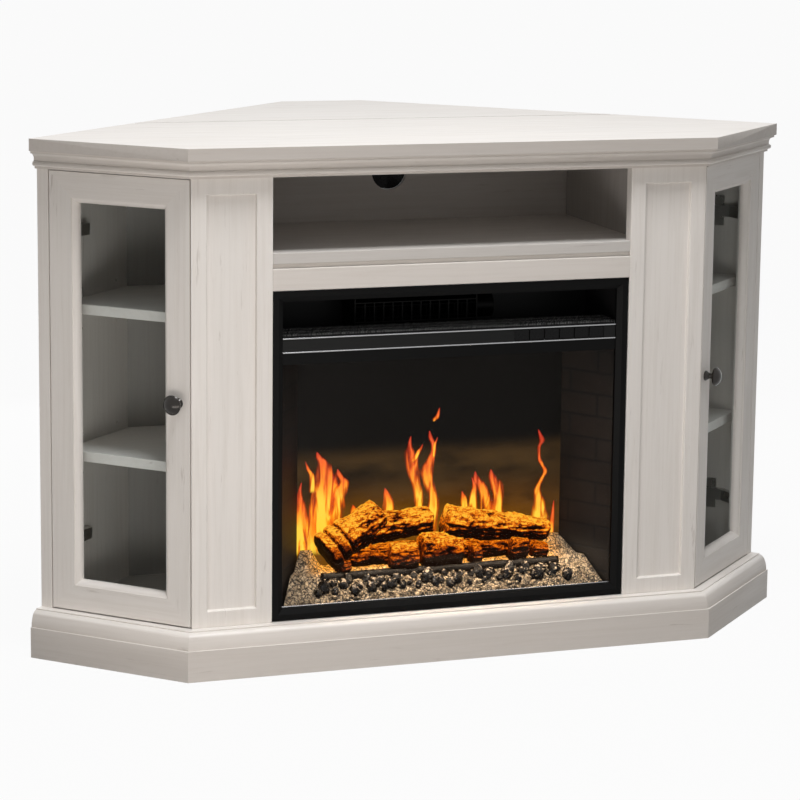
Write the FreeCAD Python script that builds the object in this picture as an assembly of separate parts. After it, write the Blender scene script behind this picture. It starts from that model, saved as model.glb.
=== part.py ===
import FreeCAD, Part
import math
import os

# Corner fireplace cabinet with a fold-down rear leaf. Millimetres, +Z up, +Y towards the wall.
# Every piece is drawn from the middle of the cabinet's front face at the floor.
# At the end all pieces move together, so that the origin is the middle of the footprint.

V = FreeCAD.Vector
ORIGIN = V(0, 0, 0)
X_AXIS = V(1, 0, 0)
Y_AXIS = V(0, 1, 0)
Z_AXIS = V(0, 0, 1)

# Cabinet body
height = 813.0
front_width = 839.0
door_face = 273.0
body_depth = 345.0
corner_turn = 45.0
panel = 18.0
end_panel = 20.0
pilaster_thickness = 20.0
back_board = 9.0
pilaster_width = 127.5
pilaster_lap = 24.0
overrun = 5.0

# Top board and rear leaf
top_thickness = 19.0
top_overhang = 21.0
rear_overhang = 41.0
back_edge_width = 146.0
seam_gap = 4.5

# Crown moulding
crown_height = 28.0
crown_foot = 6.0
crown_foot_height = 4.0
crown_bead_seat = 8.0
crown_bead_radius = 4.0
crown_quirk = 3.0
crown_cove_radius = 9.0

# Base moulding and the blocks behind it
base_height = 75.5
base_overhang = 31.0
plinth_height = 48.0
plinth_board = 18.0
plinth_bead_radius = 1.0
plinth_quirk = 0.6
base_ledge = 15.0
base_quirk = 1.6
block_width = 45.0
block_inset = 40.0

# Pilaster recess
recess_margin = 25.0
recess_depth = 6.0
recess_bevel = 0.8

# Media bay
media_bay_height = 116.0
media_shelf_thickness = 17.0
fascia_height = 41.0
fascia_groove = 7.0
fascia_groove_depth = 4.0
cable_hole_radius = 30.0
cable_hole_lift = 80.0

# Side shelves and their pins; the levels are shares of the height between floor and top
shelf_level_shares = (0.346, 0.669)
shelf_thickness = 16.0
shelf_setback = 30.0
shelf_gap = 1.0
pin_radius = 2.5
pin_depth = 9.0
pin_reach = 9.0
pin_play = 0.1
pin_hole_pitch = 32.0
pin_front_inset = 60.0
pin_back_inset = 45.0

# Doors
door_thickness = 20.0
door_gap = 2.0
door_frame = 40.0
bead_width = 8.0
bead_quirk = 1.5
glass_seat = 14.5
rebate_lip = 1.0
door_glass = 4.0
glass_play = 0.3

# Door knob
knob_foot_radius = 8.0
knob_foot_height = 1.6
knob_neck_radius = 4.5
knob_neck_start = 7.0
knob_neck_end = 12.0
knob_cap_radius = 15.3
knob_cap_start = 15.5
knob_cap_rim = 19.0
knob_length = 27.0
knob_lift = 3.7

# Concealed door hinge
hinge_inset = 100.0
cup_radius = 17.5
cup_depth = 11.0
cup_edge = 4.0
cup_play = 0.1
cup_flange = 1.0
cup_flange_width = 25.0
cup_flange_height = 56.0
hinge_plate = 3.0
hinge_plate_height = 51.0
hinge_plate_width = 16.0
hinge_arm_thickness = 10.0
hinge_arm_height = 18.0
hinge_arm_crank = 22.0
hinge_arm_reach = 74.0
hinge_clear = 0.3

# Leaf hinges
leaf_hinge_spacing = 260.0
leaf_hinge_width = 66.0
leaf_plate_reach = 30.0
leaf_plate = 1.5
knuckle_radius = 3.5
knuckle_gap = 0.4
knuckle_drop = 0.3
leaf_pin_radius = 1.8
pivot_play = 0.05

# Folding prop under the leaf
prop_length = 160.0
prop_rise = 45.0
prop_spread = 280.0
prop_arm = 4.0
prop_eye_radius = 8.0
prop_bar_radius = 5.0
prop_pin_radius = 3.0
prop_offset = 15.0
prop_clear = 0.3
bracket_plate = 2.5
bracket_height = 34.0
bracket_foot = 22.0

# Fire insert: bezel, glass and casing
bezel_gap = 1.0
bezel_border = 17.0
bezel_flat = 9.0
bezel_setback = 2.0
bezel_depth = 12.0
bezel_bevel = 6.0
lintel_height = 17.5
lintel_depth = 4.0
casing_gap = 8.0
casing_top_gap = 4.0
casing_depth = 151.0
casing_sheet = 1.5
insert_glass_thickness = 4.0
insert_glass_lap = 7.0
liner_thickness = 3.0
liner_splay = 57.5
screen_thickness = 3.0
screen_setback = 91.0
vent_count = 12
vent_width = 4.0
vent_height = 60.0
vent_pitch = 14.0

# Control bar, keys and bright strips
bar_drop = 73.5
bar_height = 24.0
bar_depth = 16.0
bar_setback = 8.0
bar_gap = 0.5
key_count = 6
key_pitch = 25.2
key_width = 24.0
key_height = 17.0
key_depth = 14.0
key_proud = 0.8
key_play = 0.4
key_chamfer = 0.8
key_row_inset = 19.3
strip_radius = 1.2

# Warm-air deck and blower
deck_depth = 64.0
deck_thickness = 3.0
deck_rib = 3.0
deck_rib_height = 2.0
deck_rib_count = 8
blower_width = 200.0
blower_shift = -32.0
blower_front = 92.0
blower_axis_depth = 128.0
blower_axis_lift = 48.0
scroll_radius = 29.0
scroll_wall = 1.5
outlet_height = 32.0
blower_plate = 2.0
grille_bar = 2.0
grille_bar_count = 12
wheel_radius = 22.0
wheel_disc = 2.0
wheel_end_gap = 3.0
wheel_shaft_radius = 4.0
blade_count = 16
blade_length = 7.0
blade_thickness = 1.2
blade_slant = 25.0
blower_motor_radius = 20.0
blower_motor_length = 34.0
fin_thickness = 1.5
fin_depth = 8.0
fin_height = 20.0
fin_count = 16

# Flame rotor, lamp board and cord gland
rotor_depth = 136.0
rotor_lift = 130.0
rotor_radius = 3.0
tab_count = 12
tab_length = 30.0
tab_width = 15.0
tab_thickness = 1.0
tab_turn = 50.0
rotor_motor_radius = 15.0
rotor_motor_length = 20.0
rotor_bearing = 10.0
board_inset = 82.5
board_depth = 34.0
board_thickness = 1.6
lamp_size = 5.0
lamp_height = 2.0
lamp_count = 10
gland_inset = 44.0
gland_lift = 36.0
gland_flange_radius = 12.0
gland_flange = 3.0
gland_nose_radius = 7.5
gland_nose = 14.0
gland_bore_radius = 3.8

# Ember bed and log pile
bed_side_gap = 13.5
bed_taper = 51.0
bed_depth = 82.0
bed_front_height = 15.0
bed_wing_height = 84.0
bed_shelf_height = 57.0
bed_shelf_depth = 36.0
bed_wing = 76.0
bed_gap = 1.5
grate_radius = 4.5
grate_inset = 70.0
log_radius = 27.0
log_pile_height = 100.0
log_sides = 9
log_stations = 4
# Each log: start and end as shares of half the bed's width, its depth and the pile's height,
# then the two radii as shares of the log radius.
log_shares = (
    ((-0.540, 0.78, 0.165, 0.66), (0.640, 0.78, 0.15, 0.60)),
    ((-0.710, 0.47, 0.30, 1.22), (-0.392, 0.64, 0.80, 0.89)),
    ((0.039, 0.57, 0.65, 1.0), (0.698, 0.62, 0.41, 0.62)),
    ((-0.420, 0.79, 0.56, 0.74), (-0.037, 0.74, 0.63, 0.67)),
    ((-0.118, 0.50, 0.25, 0.98), (0.135, 0.50, 0.23, 0.92)),
    ((-0.311, 0.49, 0.17, 0.80), (-0.142, 0.47, 0.15, 0.72)),
    ((0.194, 0.48, 0.11, 0.60), (0.252, 0.51, 0.10, 0.56)),
    ((0.445, 0.52, 0.16, 0.78), (0.553, 0.52, 0.14, 0.72)),
    ((0.589, 0.54, 0.09, 0.50), (0.688, 0.57, 0.07, 0.47)),
    ((-0.629, 0.37, 0.10, 0.50), (-0.585, 0.47, 0.10, 0.50)),
)
log_bark_shares = (1.0, 0.93, 1.04, 0.96, 1.02, 0.9, 1.05, 0.95, 0.98)

# Places worked out from the sizes above
turn = math.radians(corner_turn)
mitre = math.tan(turn / 2)
half_round = math.sqrt(0.5)
half_front = front_width / 2
half_opening = half_front - pilaster_width
half_bay = half_opening + pilaster_lap
under_top = height - top_thickness
crown_bottom = under_top - crown_height
floor_top = base_height
floor_bottom = base_height - panel
back_face = body_depth - back_board
seam_y = body_depth + rear_overhang
media_shelf_top = crown_bottom - media_bay_height
media_shelf_bottom = media_shelf_top - media_shelf_thickness
side_face = half_bay + panel
casing_front = bezel_setback + bezel_depth
casing_back = casing_front + casing_depth
bed_front = casing_front + insert_glass_thickness + bed_gap
bezel_bottom = floor_top + bezel_gap
bezel_top = media_shelf_bottom - fascia_height - bezel_gap
bezel_height = bezel_top - bezel_bottom
half_bezel = half_opening - bezel_gap
half_window = half_bezel - bezel_border
half_casing = half_opening - casing_gap
half_inside = half_casing - casing_sheet
casing_top = bezel_top - casing_top_gap
bar_high = bezel_top - bar_drop
bar_low = bar_high - bar_height
bar_front = bezel_setback + bar_setback
bar_back = bar_front + bar_depth
divider_top = bar_low - lintel_depth
divider_bottom = divider_top - casing_sheet
screen_front = casing_front + screen_setback
hearth = floor_top + casing_sheet
door_outer = door_face - end_panel - door_gap
door_width = door_outer - door_gap
door_bottom = floor_top + door_gap
door_height = crown_bottom - door_gap - door_bottom
leaf_axis_y = seam_y + seam_gap / 2
leaf_axis_z = under_top - knuckle_radius - knuckle_drop
shelf_tops = [floor_top + share * (under_top - floor_top) for share in shelf_level_shares]
half_bed = half_inside - bed_side_gap


# Points and plain solids
def face_point(along, depth):
    """A point beside the right door face: distance from the front corner, depth behind the face."""
    x = half_front + along * math.cos(turn) - depth * math.sin(turn)
    return V(x, along * math.sin(turn) + depth * math.cos(turn), 0)


def wall_x(y, inset):
    """Where the right wall line, moved inwards by inset, crosses the given depth."""
    start = face_point(door_face - inset, 0)
    return start.x - (y - start.y) * math.tan(turn)


def prism(points, bottom, top):
    corners = [V(p.x, p.y, bottom) for p in points]
    face = Part.Face(Part.makePolygon(corners + corners[:1]))
    return face.extrude(V(0, 0, top - bottom))


def board(x_range, y_range, z_range):
    low = V(x_range[0], y_range[0], z_range[0])
    high = V(x_range[1], y_range[1], z_range[1])
    size = high - low
    return Part.makeBox(size.x, size.y, size.z, low)


def rod(start, direction, length, radius):
    return Part.makeCylinder(radius, length, start, direction)


def both_halves(right):
    """The whole plan from its right half, listed from front to back."""
    left = [V(-p.x, p.y, p.z) for p in reversed(right)]
    return right + left


def mirrored(shape):
    return shape.mirror(ORIGIN, X_AXIS)


def on_door_face(shape):
    """Moves a piece drawn with the door face along X to the right door face."""
    shape.rotate(ORIGIN, Z_AXIS, corner_turn)
    shape.translate(V(half_front, 0, 0))
    return shape


def section(outline, place):
    """A face from corners, each with the middle of the arc that leaves it, or None for a line."""
    edges = []
    for (corner, bulge), (following, _) in zip(outline, outline[1:] + outline[:1]):
        if bulge is None:
            edges.append(Part.LineSegment(place(*corner), place(*following)).toShape())
        else:
            edges.append(Part.Arc(place(*corner), place(*bulge), place(*following)).toShape())
    return Part.Face(Part.Wire(edges))


def fused(shapes):
    return shapes[0].multiFuse(shapes[1:]).removeSplitter()


pieces = {}


def add_pair(stem, right):
    pieces[stem + "_right"] = right
    pieces[stem + "_left"] = mirrored(right)


# Top board and leaf
def build_tops():
    front_corner = V(half_front + top_overhang * mitre, -top_overhang, 0)
    end_corner = face_point(door_face, -top_overhang)
    seam_corner = V(wall_x(seam_y, 0), seam_y, 0)
    pieces["main_top"] = prism(both_halves([front_corner, end_corner, seam_corner]), under_top, height)
    leaf_front = seam_y + seam_gap
    leaf_back = seam_y + wall_x(seam_y, 0) - back_edge_width / 2
    leaf = [V(wall_x(leaf_front, 0), leaf_front, 0), V(back_edge_width / 2, leaf_back, 0)]
    pieces["rear_leaf"] = prism(both_halves(leaf), under_top, height)
    return leaf_back


# Mouldings: one profile, run along the front and both door faces with mitred corners
def crown_outline():
    bead_low = crown_bottom + crown_foot_height
    bead_high = bead_low + 2 * crown_bead_radius
    cove_low = bead_high + crown_quirk
    cove_out = crown_bead_seat + crown_cove_radius
    cove_bend = crown_cove_radius * half_round
    return [
        ((0, crown_bottom), None),
        ((crown_foot, crown_bottom), None),
        ((crown_foot, bead_low), None),
        ((crown_bead_seat, bead_low), (crown_bead_seat + crown_bead_radius, bead_low + crown_bead_radius)),
        ((crown_bead_seat, bead_high), None),
        ((crown_bead_seat, cove_low), (cove_out - cove_bend, cove_low + cove_bend)),
        ((cove_out, cove_low + crown_cove_radius), None),
        ((cove_out, under_top), None),
        ((0, under_top), None),
    ]


def base_outline():
    back = base_overhang - plinth_board
    bead_end = base_overhang - 2 * plinth_bead_radius
    roll_run = bead_end - plinth_quirk - base_ledge
    roll_rise = base_height - base_quirk - plinth_height
    bead_middle = (base_overhang - plinth_bead_radius, plinth_height + plinth_bead_radius)

    def roll(quarters):
        angle = quarters * math.pi / 8
        return (base_ledge + roll_run * math.cos(angle), plinth_height + roll_rise * math.sin(angle))

    return [
        ((0, base_height), None),
        ((0, plinth_height), None),
        ((back, plinth_height), None),
        ((back, 0), None),
        ((base_overhang, 0), None),
        ((base_overhang, plinth_height), bead_middle),
        ((bead_end, plinth_height), None),
        (roll(0), roll(1)),
        (roll(2), roll(3)),
        (roll(4), None),
        ((base_ledge, base_height), None),
    ]


def build_moulding(stem, outline, reach):
    """The profile stands outside the body's faces; reach is its widest overhang."""
    width = reach + overrun
    skew = width * mitre
    front = section(outline, lambda out, z: V(-half_front - skew, -out, z))
    front = front.extrude(V(front_width + 2 * skew, 0, 0))
    front_plan = [V(half_front + skew, -width, 0), V(half_front, 0, 0)]
    pieces[stem + "_front"] = front.common(prism(both_halves(front_plan), 0, height))
    side = section(outline, lambda out, z: V(-skew, -out, z))
    side = side.extrude(V(door_face + skew, 0, 0))
    side_plan = [V(0, 0, 0), V(-skew, -width, 0), V(door_face, -width, 0), V(door_face, 0, 0)]
    side = side.common(prism(side_plan, 0, height))
    add_pair(stem, on_door_face(side))


# Carcass boards
def build_carcass():
    floor_plan = [
        V(half_front, 0, 0),
        face_point(door_face - end_panel, 0),
        V(wall_x(back_face, end_panel), back_face, 0),
    ]
    pieces["bottom_panel"] = prism(both_halves(floor_plan), floor_bottom, floor_top)
    end_plan = [
        face_point(door_face - end_panel, 0),
        face_point(door_face, 0),
        V(wall_x(body_depth, 0), body_depth, 0),
        V(wall_x(body_depth, end_panel), body_depth, 0),
    ]
    end = prism(end_plan, 0, under_top)
    partition = board((half_bay, side_face), (pilaster_thickness, body_depth), (floor_top, under_top))
    for hole in pin_rods(pin_radius + pin_play, pin_depth, 0, (-pin_hole_pitch, 0, pin_hole_pitch)):
        end = end.cut(hole)
        partition = partition.cut(hole)
    add_pair("end_panel", end)
    add_pair("partition", partition)
    back_plan = [
        V(side_face, back_face, 0),
        V(wall_x(back_face, end_panel), back_face, 0),
        V(wall_x(body_depth, end_panel), body_depth, 0),
        V(side_face, body_depth, 0),
    ]
    side_back = prism(back_plan, floor_bottom, under_top)
    pieces["side_backs"] = Part.makeCompound([side_back, mirrored(side_back)])
    blocks = []
    for x in (-half_bay, 0, half_bay):
        for y in (block_inset, back_face - block_inset):
            corner = V(x - block_width / 2, y - block_width / 2, 0)
            blocks.append(Part.makeBox(block_width, block_width, floor_bottom, corner))
    pieces["support_blocks"] = Part.makeCompound(blocks)


def build_front():
    back_edge = half_front - pilaster_thickness * math.tan(turn)
    plan = [
        V(half_opening, 0, 0),
        V(half_front, 0, 0),
        V(back_edge, pilaster_thickness, 0),
        V(half_opening, pilaster_thickness, 0),
    ]
    low = V(half_opening + recess_margin, 0, floor_top + recess_margin)
    high = V(half_front - recess_margin, 0, crown_bottom - recess_margin)
    rims = []
    for inset, depth in ((0, 0), (recess_bevel, recess_depth)):
        x_low, x_high = low.x + inset, high.x - inset
        z_low, z_high = low.z + inset, high.z - inset
        rim = [V(x_low, depth, z_low), V(x_high, depth, z_low), V(x_high, depth, z_high)]
        rim.append(V(x_low, depth, z_high))
        rims.append(Part.makePolygon(rim + rim[:1]))
    recess = Part.makeLoft(rims, True, True)
    add_pair("pilaster", prism(plan, floor_top, under_top).cut(recess))
    pieces["top_rail"] = board((-half_opening, half_opening), (0, panel), (crown_bottom, under_top))
    groove_low = media_shelf_bottom - fascia_groove
    fascia = [
        ((0, bezel_top + bezel_gap), None),
        ((0, groove_low), None),
        ((fascia_groove_depth, groove_low), None),
        ((fascia_groove_depth, media_shelf_bottom), None),
        ((panel, media_shelf_bottom), None),
        ((panel, bezel_top + bezel_gap), None),
    ]
    fascia = section(fascia, lambda y, z: V(-half_opening, y, z))
    pieces["fascia_rail"] = fascia.extrude(V(2 * half_opening, 0, 0))
    shelf_plan = [
        V(half_opening, 0, 0),
        V(half_opening, pilaster_thickness, 0),
        V(half_bay, pilaster_thickness, 0),
        V(half_bay, back_face, 0),
    ]
    pieces["media_shelf"] = prism(both_halves(shelf_plan), media_shelf_bottom, media_shelf_top)
    back = board((-half_bay, half_bay), (back_face, body_depth), (media_shelf_bottom, under_top))
    hole_start = V(0, back_face - overrun, media_shelf_top + cable_hole_lift)
    hole = rod(hole_start, Y_AXIS, back_board + 2 * overrun, cable_hole_radius)
    pieces["media_back"] = back.cut(hole)


# Side shelves on pins in bored rows
def pin_rods(radius, depth, reach, rows):
    """Right-hand rods at the shelf pins, from depth inside the boards to reach in the cabinet."""
    rods = []
    inner = door_face - end_panel
    wall_run = (body_depth - inner * math.sin(turn)) / math.cos(turn)
    for shelf_top in shelf_tops:
        for row in rows:
            z = shelf_top - shelf_thickness - pin_radius + row
            for y in (pilaster_thickness + pin_front_inset, back_face - pin_back_inset):
                rods.append(rod(V(side_face - depth, y, z), X_AXIS, depth + reach, radius))
            for along in (shelf_setback + pin_front_inset, wall_run - pin_back_inset):
                start = face_point(inner + depth, along)
                into_room = V(-math.cos(turn), -math.sin(turn), 0)
                rods.append(rod(start + V(0, 0, z), into_room, depth + reach, radius))
    return rods


def build_shelves():
    front_y = pilaster_thickness + shelf_gap
    back_y = back_face - shelf_gap
    front_start = (front_y - shelf_setback * math.cos(turn)) / math.sin(turn)
    plan = [
        V(side_face + shelf_gap, front_y, 0),
        face_point(front_start, shelf_setback),
        face_point(door_face - end_panel - shelf_gap, shelf_setback),
        V(wall_x(back_y, end_panel + shelf_gap), back_y, 0),
        V(side_face + shelf_gap, back_y, 0),
    ]
    shelves = []
    for shelf_top in shelf_tops:
        shelf = prism(plan, shelf_top - shelf_thickness, shelf_top)
        shelves += [shelf, mirrored(shelf)]
    pieces["side_shelves"] = Part.makeCompound(shelves)
    pins = pin_rods(pin_radius, pin_depth, pin_reach, (0,))
    pieces["shelf_pins"] = Part.makeCompound(pins + [mirrored(pin) for pin in pins])


# Doors
def mitred_frame(width, tall, outline, reach, thickness):
    """Bottom, top, left and right members with their outer lower left corner at the origin."""
    low, deep = -overrun, thickness + overrun

    def keep(corners):
        flat = [V(x, low, z) for x, z in corners]
        return Part.Face(Part.makePolygon(flat + flat[:1])).extrude(V(0, deep - low, 0))

    bottom = section(outline, lambda w, y: V(0, y, w)).extrude(V(width, 0, 0))
    bottom = bottom.common(keep([(0, 0), (width, 0), (width - reach, reach), (reach, reach)]))
    left = section(outline, lambda w, y: V(w, y, 0)).extrude(V(0, 0, tall))
    left = left.common(keep([(0, 0), (reach, reach), (reach, tall - reach), (0, tall)]))
    top = bottom.mirror(V(0, 0, tall / 2), Z_AXIS)
    right = left.mirror(V(width / 2, 0, 0), X_AXIS)
    return bottom, top, left, right


def knob_solid():
    dome_rise = knob_length - knob_cap_rim
    dome_radius = (knob_cap_radius ** 2 + dome_rise ** 2) / (2 * dome_rise)
    dome_angle = math.asin(knob_cap_radius / dome_radius) / 2
    dome_drop = dome_radius * (1 - math.cos(dome_angle))
    dome_middle = (dome_radius * math.sin(dome_angle), knob_length - dome_drop)
    outline = [
        ((0, 0), None),
        ((knob_foot_radius, 0), None),
        ((knob_foot_radius, knob_foot_height), None),
        ((knob_neck_radius, knob_neck_start), None),
        ((knob_neck_radius, knob_neck_end), None),
        ((knob_cap_radius - knob_foot_height, knob_cap_start), None),
        ((knob_cap_radius, knob_cap_rim), dome_middle),
        ((0, knob_length), None),
    ]
    half = section(outline, lambda r, out: V(r, -out, 0)).revolve(ORIGIN, Y_AXIS, 180)
    return fused([half, half.mirror(ORIGIN, Z_AXIS)])


def hinge_levels():
    return (door_bottom + hinge_inset, door_bottom + door_height - hinge_inset)


def build_doors():
    reach = door_frame + bead_width
    roll = glass_seat - bead_quirk
    roll_middle = (door_frame + bead_width * half_round, bead_quirk + roll * (1 - half_round))
    lip = door_frame + rebate_lip
    outline = [
        ((0, 0), None),
        ((door_frame, 0), None),
        ((door_frame, bead_quirk), roll_middle),
        ((reach, glass_seat), None),
        ((lip, glass_seat), None),
        ((lip, door_thickness), None),
        ((0, door_thickness), None),
    ]
    frame = mitred_frame(door_width, door_height, outline, reach, door_thickness)
    bottom, top, inner, outer = [member.translated(V(door_gap, 0, door_bottom)) for member in frame]
    cup_centre = door_outer - cup_edge - cup_radius
    cups = []
    for z in hinge_levels():
        back = V(cup_centre, door_thickness, z)
        bore = rod(back, V(0, -1, 0), cup_depth + cup_play, cup_radius + cup_play)
        outer = outer.cut(bore)
        flange_low = back - V(cup_flange_width / 2, 0, cup_flange_height / 2)
        flange = Part.makeBox(cup_flange_width, cup_flange, cup_flange_height, flange_low)
        cup = rod(back + V(0, cup_flange, 0), V(0, -1, 0), cup_depth + cup_flange, cup_radius)
        cups.append(fused([flange, cup]))
    pane_low = door_gap + lip + glass_play
    pane = board(
        (pane_low, door_outer - lip - glass_play),
        (glass_seat, glass_seat + door_glass),
        (door_bottom + lip + glass_play, door_bottom + door_height - lip - glass_play),
    )
    knob = knob_solid()
    knob.translate(V(door_gap + door_frame / 2, 0, door_bottom + door_height / 2 + knob_lift))
    add_pair("door_stiles", on_door_face(Part.makeCompound([inner, outer])))
    add_pair("door_rails", on_door_face(Part.makeCompound([bottom, top])))
    add_pair("door_glass", on_door_face(pane))
    add_pair("door_knob", on_door_face(knob))
    add_pair("hinge_cups", on_door_face(Part.makeCompound(cups)))
    build_hinge_arms(cup_centre)


def build_hinge_arms(cup_centre):
    """Cranked arms on cross-shaped plates, fixed inside the end panels."""
    wall = door_face - end_panel
    plate_face = wall - hinge_plate
    near = door_thickness + cup_flange + hinge_clear
    nose = hinge_arm_thickness * half_round
    far = near + hinge_arm_reach
    bend = near + hinge_arm_crank
    arm_plan = [
        V(plate_face, far, 0),
        V(plate_face, bend, 0),
        V(cup_centre + nose, near, 0),
        V(cup_centre - nose, near, 0),
        V(plate_face - hinge_arm_thickness, bend + hinge_plate, 0),
        V(plate_face - hinge_arm_thickness, far, 0),
    ]
    arms = []
    for z in hinge_levels():
        low = z - hinge_arm_height / 2
        arm = prism(arm_plan, low, low + hinge_arm_height)
        wing_start = bend + hinge_plate_width
        wing = board(
            (plate_face, wall),
            (wing_start, wing_start + hinge_plate_width),
            (z - hinge_plate_height / 2, z + hinge_plate_height / 2),
        )
        spine = board((plate_face, wall), (bend, far), (low, low + hinge_arm_height))
        arms.append(on_door_face(fused([arm, wing, spine])))
    pieces["hinge_arms"] = Part.makeCompound(arms + [mirrored(arm) for arm in arms])


# Leaf hinges and the folding prop
def leaf_hinge_half(side, pinned):
    """One half of a butt hinge; side is -1 under the main top and 1 under the leaf."""
    knuckle = (leaf_hinge_width - 2 * knuckle_gap) / 3
    half = leaf_hinge_width / 2
    near = leaf_axis_y + side * seam_gap / 2
    far = leaf_axis_y + side * leaf_plate_reach
    free = leaf_axis_y + side * (knuckle_radius + knuckle_gap)
    plate = board((-half, half), sorted((near, far)), (under_top - leaf_plate, under_top))
    ends = ((-half, -half + knuckle), (half - knuckle, half))
    middle = ((-knuckle / 2, knuckle / 2),)
    own, other = (ends, middle) if pinned else (middle, ends)
    for start, end in other:
        span = (start - knuckle_gap, end + knuckle_gap)
        plate = plate.cut(board(span, sorted((near, free)), (under_top - leaf_plate, under_top)))
    solids = [plate]
    for start, end in own:
        solids.append(rod(V(start, leaf_axis_y, leaf_axis_z), X_AXIS, end - start, knuckle_radius))
    pin_start = V(-half, leaf_axis_y, leaf_axis_z)
    if pinned:
        solids.append(rod(pin_start, X_AXIS, leaf_hinge_width, leaf_pin_radius))
        return fused(solids)
    return fused(solids).cut(rod(pin_start, X_AXIS, leaf_hinge_width, leaf_pin_radius + pivot_play))


def build_leaf_hinges():
    places = [V(x, 0, 0) for x in (-leaf_hinge_spacing, 0, leaf_hinge_spacing)]
    fixed, moving = leaf_hinge_half(-1, True), leaf_hinge_half(1, False)
    pieces["leaf_hinge_plates"] = Part.makeCompound([fixed.translated(p) for p in places])
    pieces["leaf_hinge_flaps"] = Part.makeCompound([moving.translated(p) for p in places])


def build_prop():
    """A U-shaped steel prop: two tapered arms on pins, joined by a bar under the leaf."""
    pivot_y = body_depth + prop_offset
    bar_z = under_top - prop_clear - prop_bar_radius
    rise = math.radians(prop_rise)
    pivot = V(0, pivot_y, bar_z - prop_length * math.sin(rise))
    lean = (prop_eye_radius - prop_bar_radius) / prop_length
    wide = math.sqrt(1 - lean * lean)
    tip = prop_length + prop_bar_radius * lean
    outline = [
        ((prop_eye_radius * lean, -prop_eye_radius * wide), None),
        ((tip, -prop_bar_radius * wide), (prop_length + prop_bar_radius, 0)),
        ((tip, prop_bar_radius * wide), None),
        ((prop_eye_radius * lean, prop_eye_radius * wide), (-prop_eye_radius, 0)),
    ]
    arm = section(outline, lambda y, z: V(-prop_arm / 2, y, z)).extrude(V(prop_arm, 0, 0))
    arm = arm.cut(rod(V(-prop_arm, 0, 0), X_AXIS, 2 * prop_arm, prop_pin_radius + pivot_play))
    half = prop_spread / 2
    bar = rod(V(-half, prop_length, 0), X_AXIS, prop_spread, prop_bar_radius)
    prop = fused([arm.translated(V(-half, 0, 0)), arm.translated(V(half, 0, 0)), bar])
    prop.rotate(ORIGIN, X_AXIS, prop_rise)
    prop.translate(pivot)
    pieces["leaf_prop"] = prop
    ear_face = half + prop_arm / 2 + prop_clear
    ear_x = (ear_face, ear_face + bracket_plate)
    z_range = (pivot.z - bracket_height / 2, pivot.z + bracket_height / 2)
    foot = board((ear_face, ear_face + bracket_foot), (body_depth, body_depth + bracket_plate), z_range)
    ear_end = pivot_y
    ear = board(ear_x, (body_depth, ear_end), (pivot.z - prop_eye_radius, pivot.z + prop_eye_radius))
    ear_round = rod(V(ear_face, pivot_y, pivot.z), X_AXIS, bracket_plate, prop_eye_radius)
    pin_length = prop_arm + 2 * prop_clear + bracket_plate
    pin_start = V(ear_face - prop_arm - 2 * prop_clear, pivot_y, pivot.z)
    pin = rod(pin_start, X_AXIS, pin_length, prop_pin_radius)
    head = rod(pin_start, V(-1, 0, 0), bracket_plate, prop_pin_radius + bracket_plate)
    bracket = fused([foot, ear, ear_round, pin, head])
    pieces["prop_brackets"] = Part.makeCompound([bracket, mirrored(bracket)])


# Fire insert
def build_bezel():
    back = casing_front
    outline = [
        ((0, bezel_setback), None),
        ((bezel_flat, bezel_setback), None),
        ((bezel_border, bezel_setback + bezel_bevel), None),
        ((bezel_border, back), None),
        ((0, back), None),
    ]
    frame = mitred_frame(2 * half_bezel, bezel_height, outline, bezel_border, back)
    members = [member.translated(V(-half_bezel, 0, bezel_bottom)) for member in frame]
    lintel_low = bar_low - lintel_height
    members.append(board((-half_window, half_window), (back - lintel_depth, back), (lintel_low, bar_low)))
    pieces["insert_bezel"] = Part.makeCompound(members)
    pane_x = (-half_window - insert_glass_lap, half_window + insert_glass_lap)
    pane_y = (back, back + insert_glass_thickness)
    pane_low = bezel_bottom + bezel_border - insert_glass_lap
    pieces["insert_glass"] = board(pane_x, pane_y, (pane_low, lintel_low + insert_glass_lap))


def build_casing():
    """Folded sheet panels, with splayed brick-faced liners beside the fire."""
    y_range = (casing_front, casing_back)
    inside = (-half_inside, half_inside)
    side = board((half_inside, half_casing), y_range, (floor_top, casing_top))
    half_screen = half_inside - liner_splay
    liner_plan = [
        V(half_inside - liner_thickness, bed_front, 0),
        V(half_inside, bed_front, 0),
        V(half_screen, screen_front, 0),
        V(half_screen - liner_thickness, screen_front, 0),
    ]
    liner = prism(liner_plan, hearth, divider_bottom)
    back_y = (casing_back - casing_sheet, casing_back)
    back = board(inside, back_y, (hearth, casing_top - casing_sheet))
    vent_z = casing_top - casing_sheet - vent_height
    for row in range(vent_count):
        x = (row - (vent_count - 1) / 2) * vent_pitch - vent_width / 2
        vent = board((x, x + vent_width), back_y, (vent_z - vent_height / 2, vent_z + vent_height / 2))
        back = back.cut(vent)
    divider_y = (bed_front, casing_back - casing_sheet)
    pieces["insert_casing"] = Part.makeCompound([
        side,
        mirrored(side),
        liner,
        mirrored(liner),
        back,
        board(inside, y_range, (floor_top, hearth)),
        board(inside, y_range, (casing_top - casing_sheet, casing_top)),
        board(inside, divider_y, (divider_bottom, divider_top)),
    ])
    screen_y = (screen_front, screen_front + screen_thickness)
    pieces["flame_screen"] = board((-half_screen, half_screen), screen_y, (hearth, divider_bottom))


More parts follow.
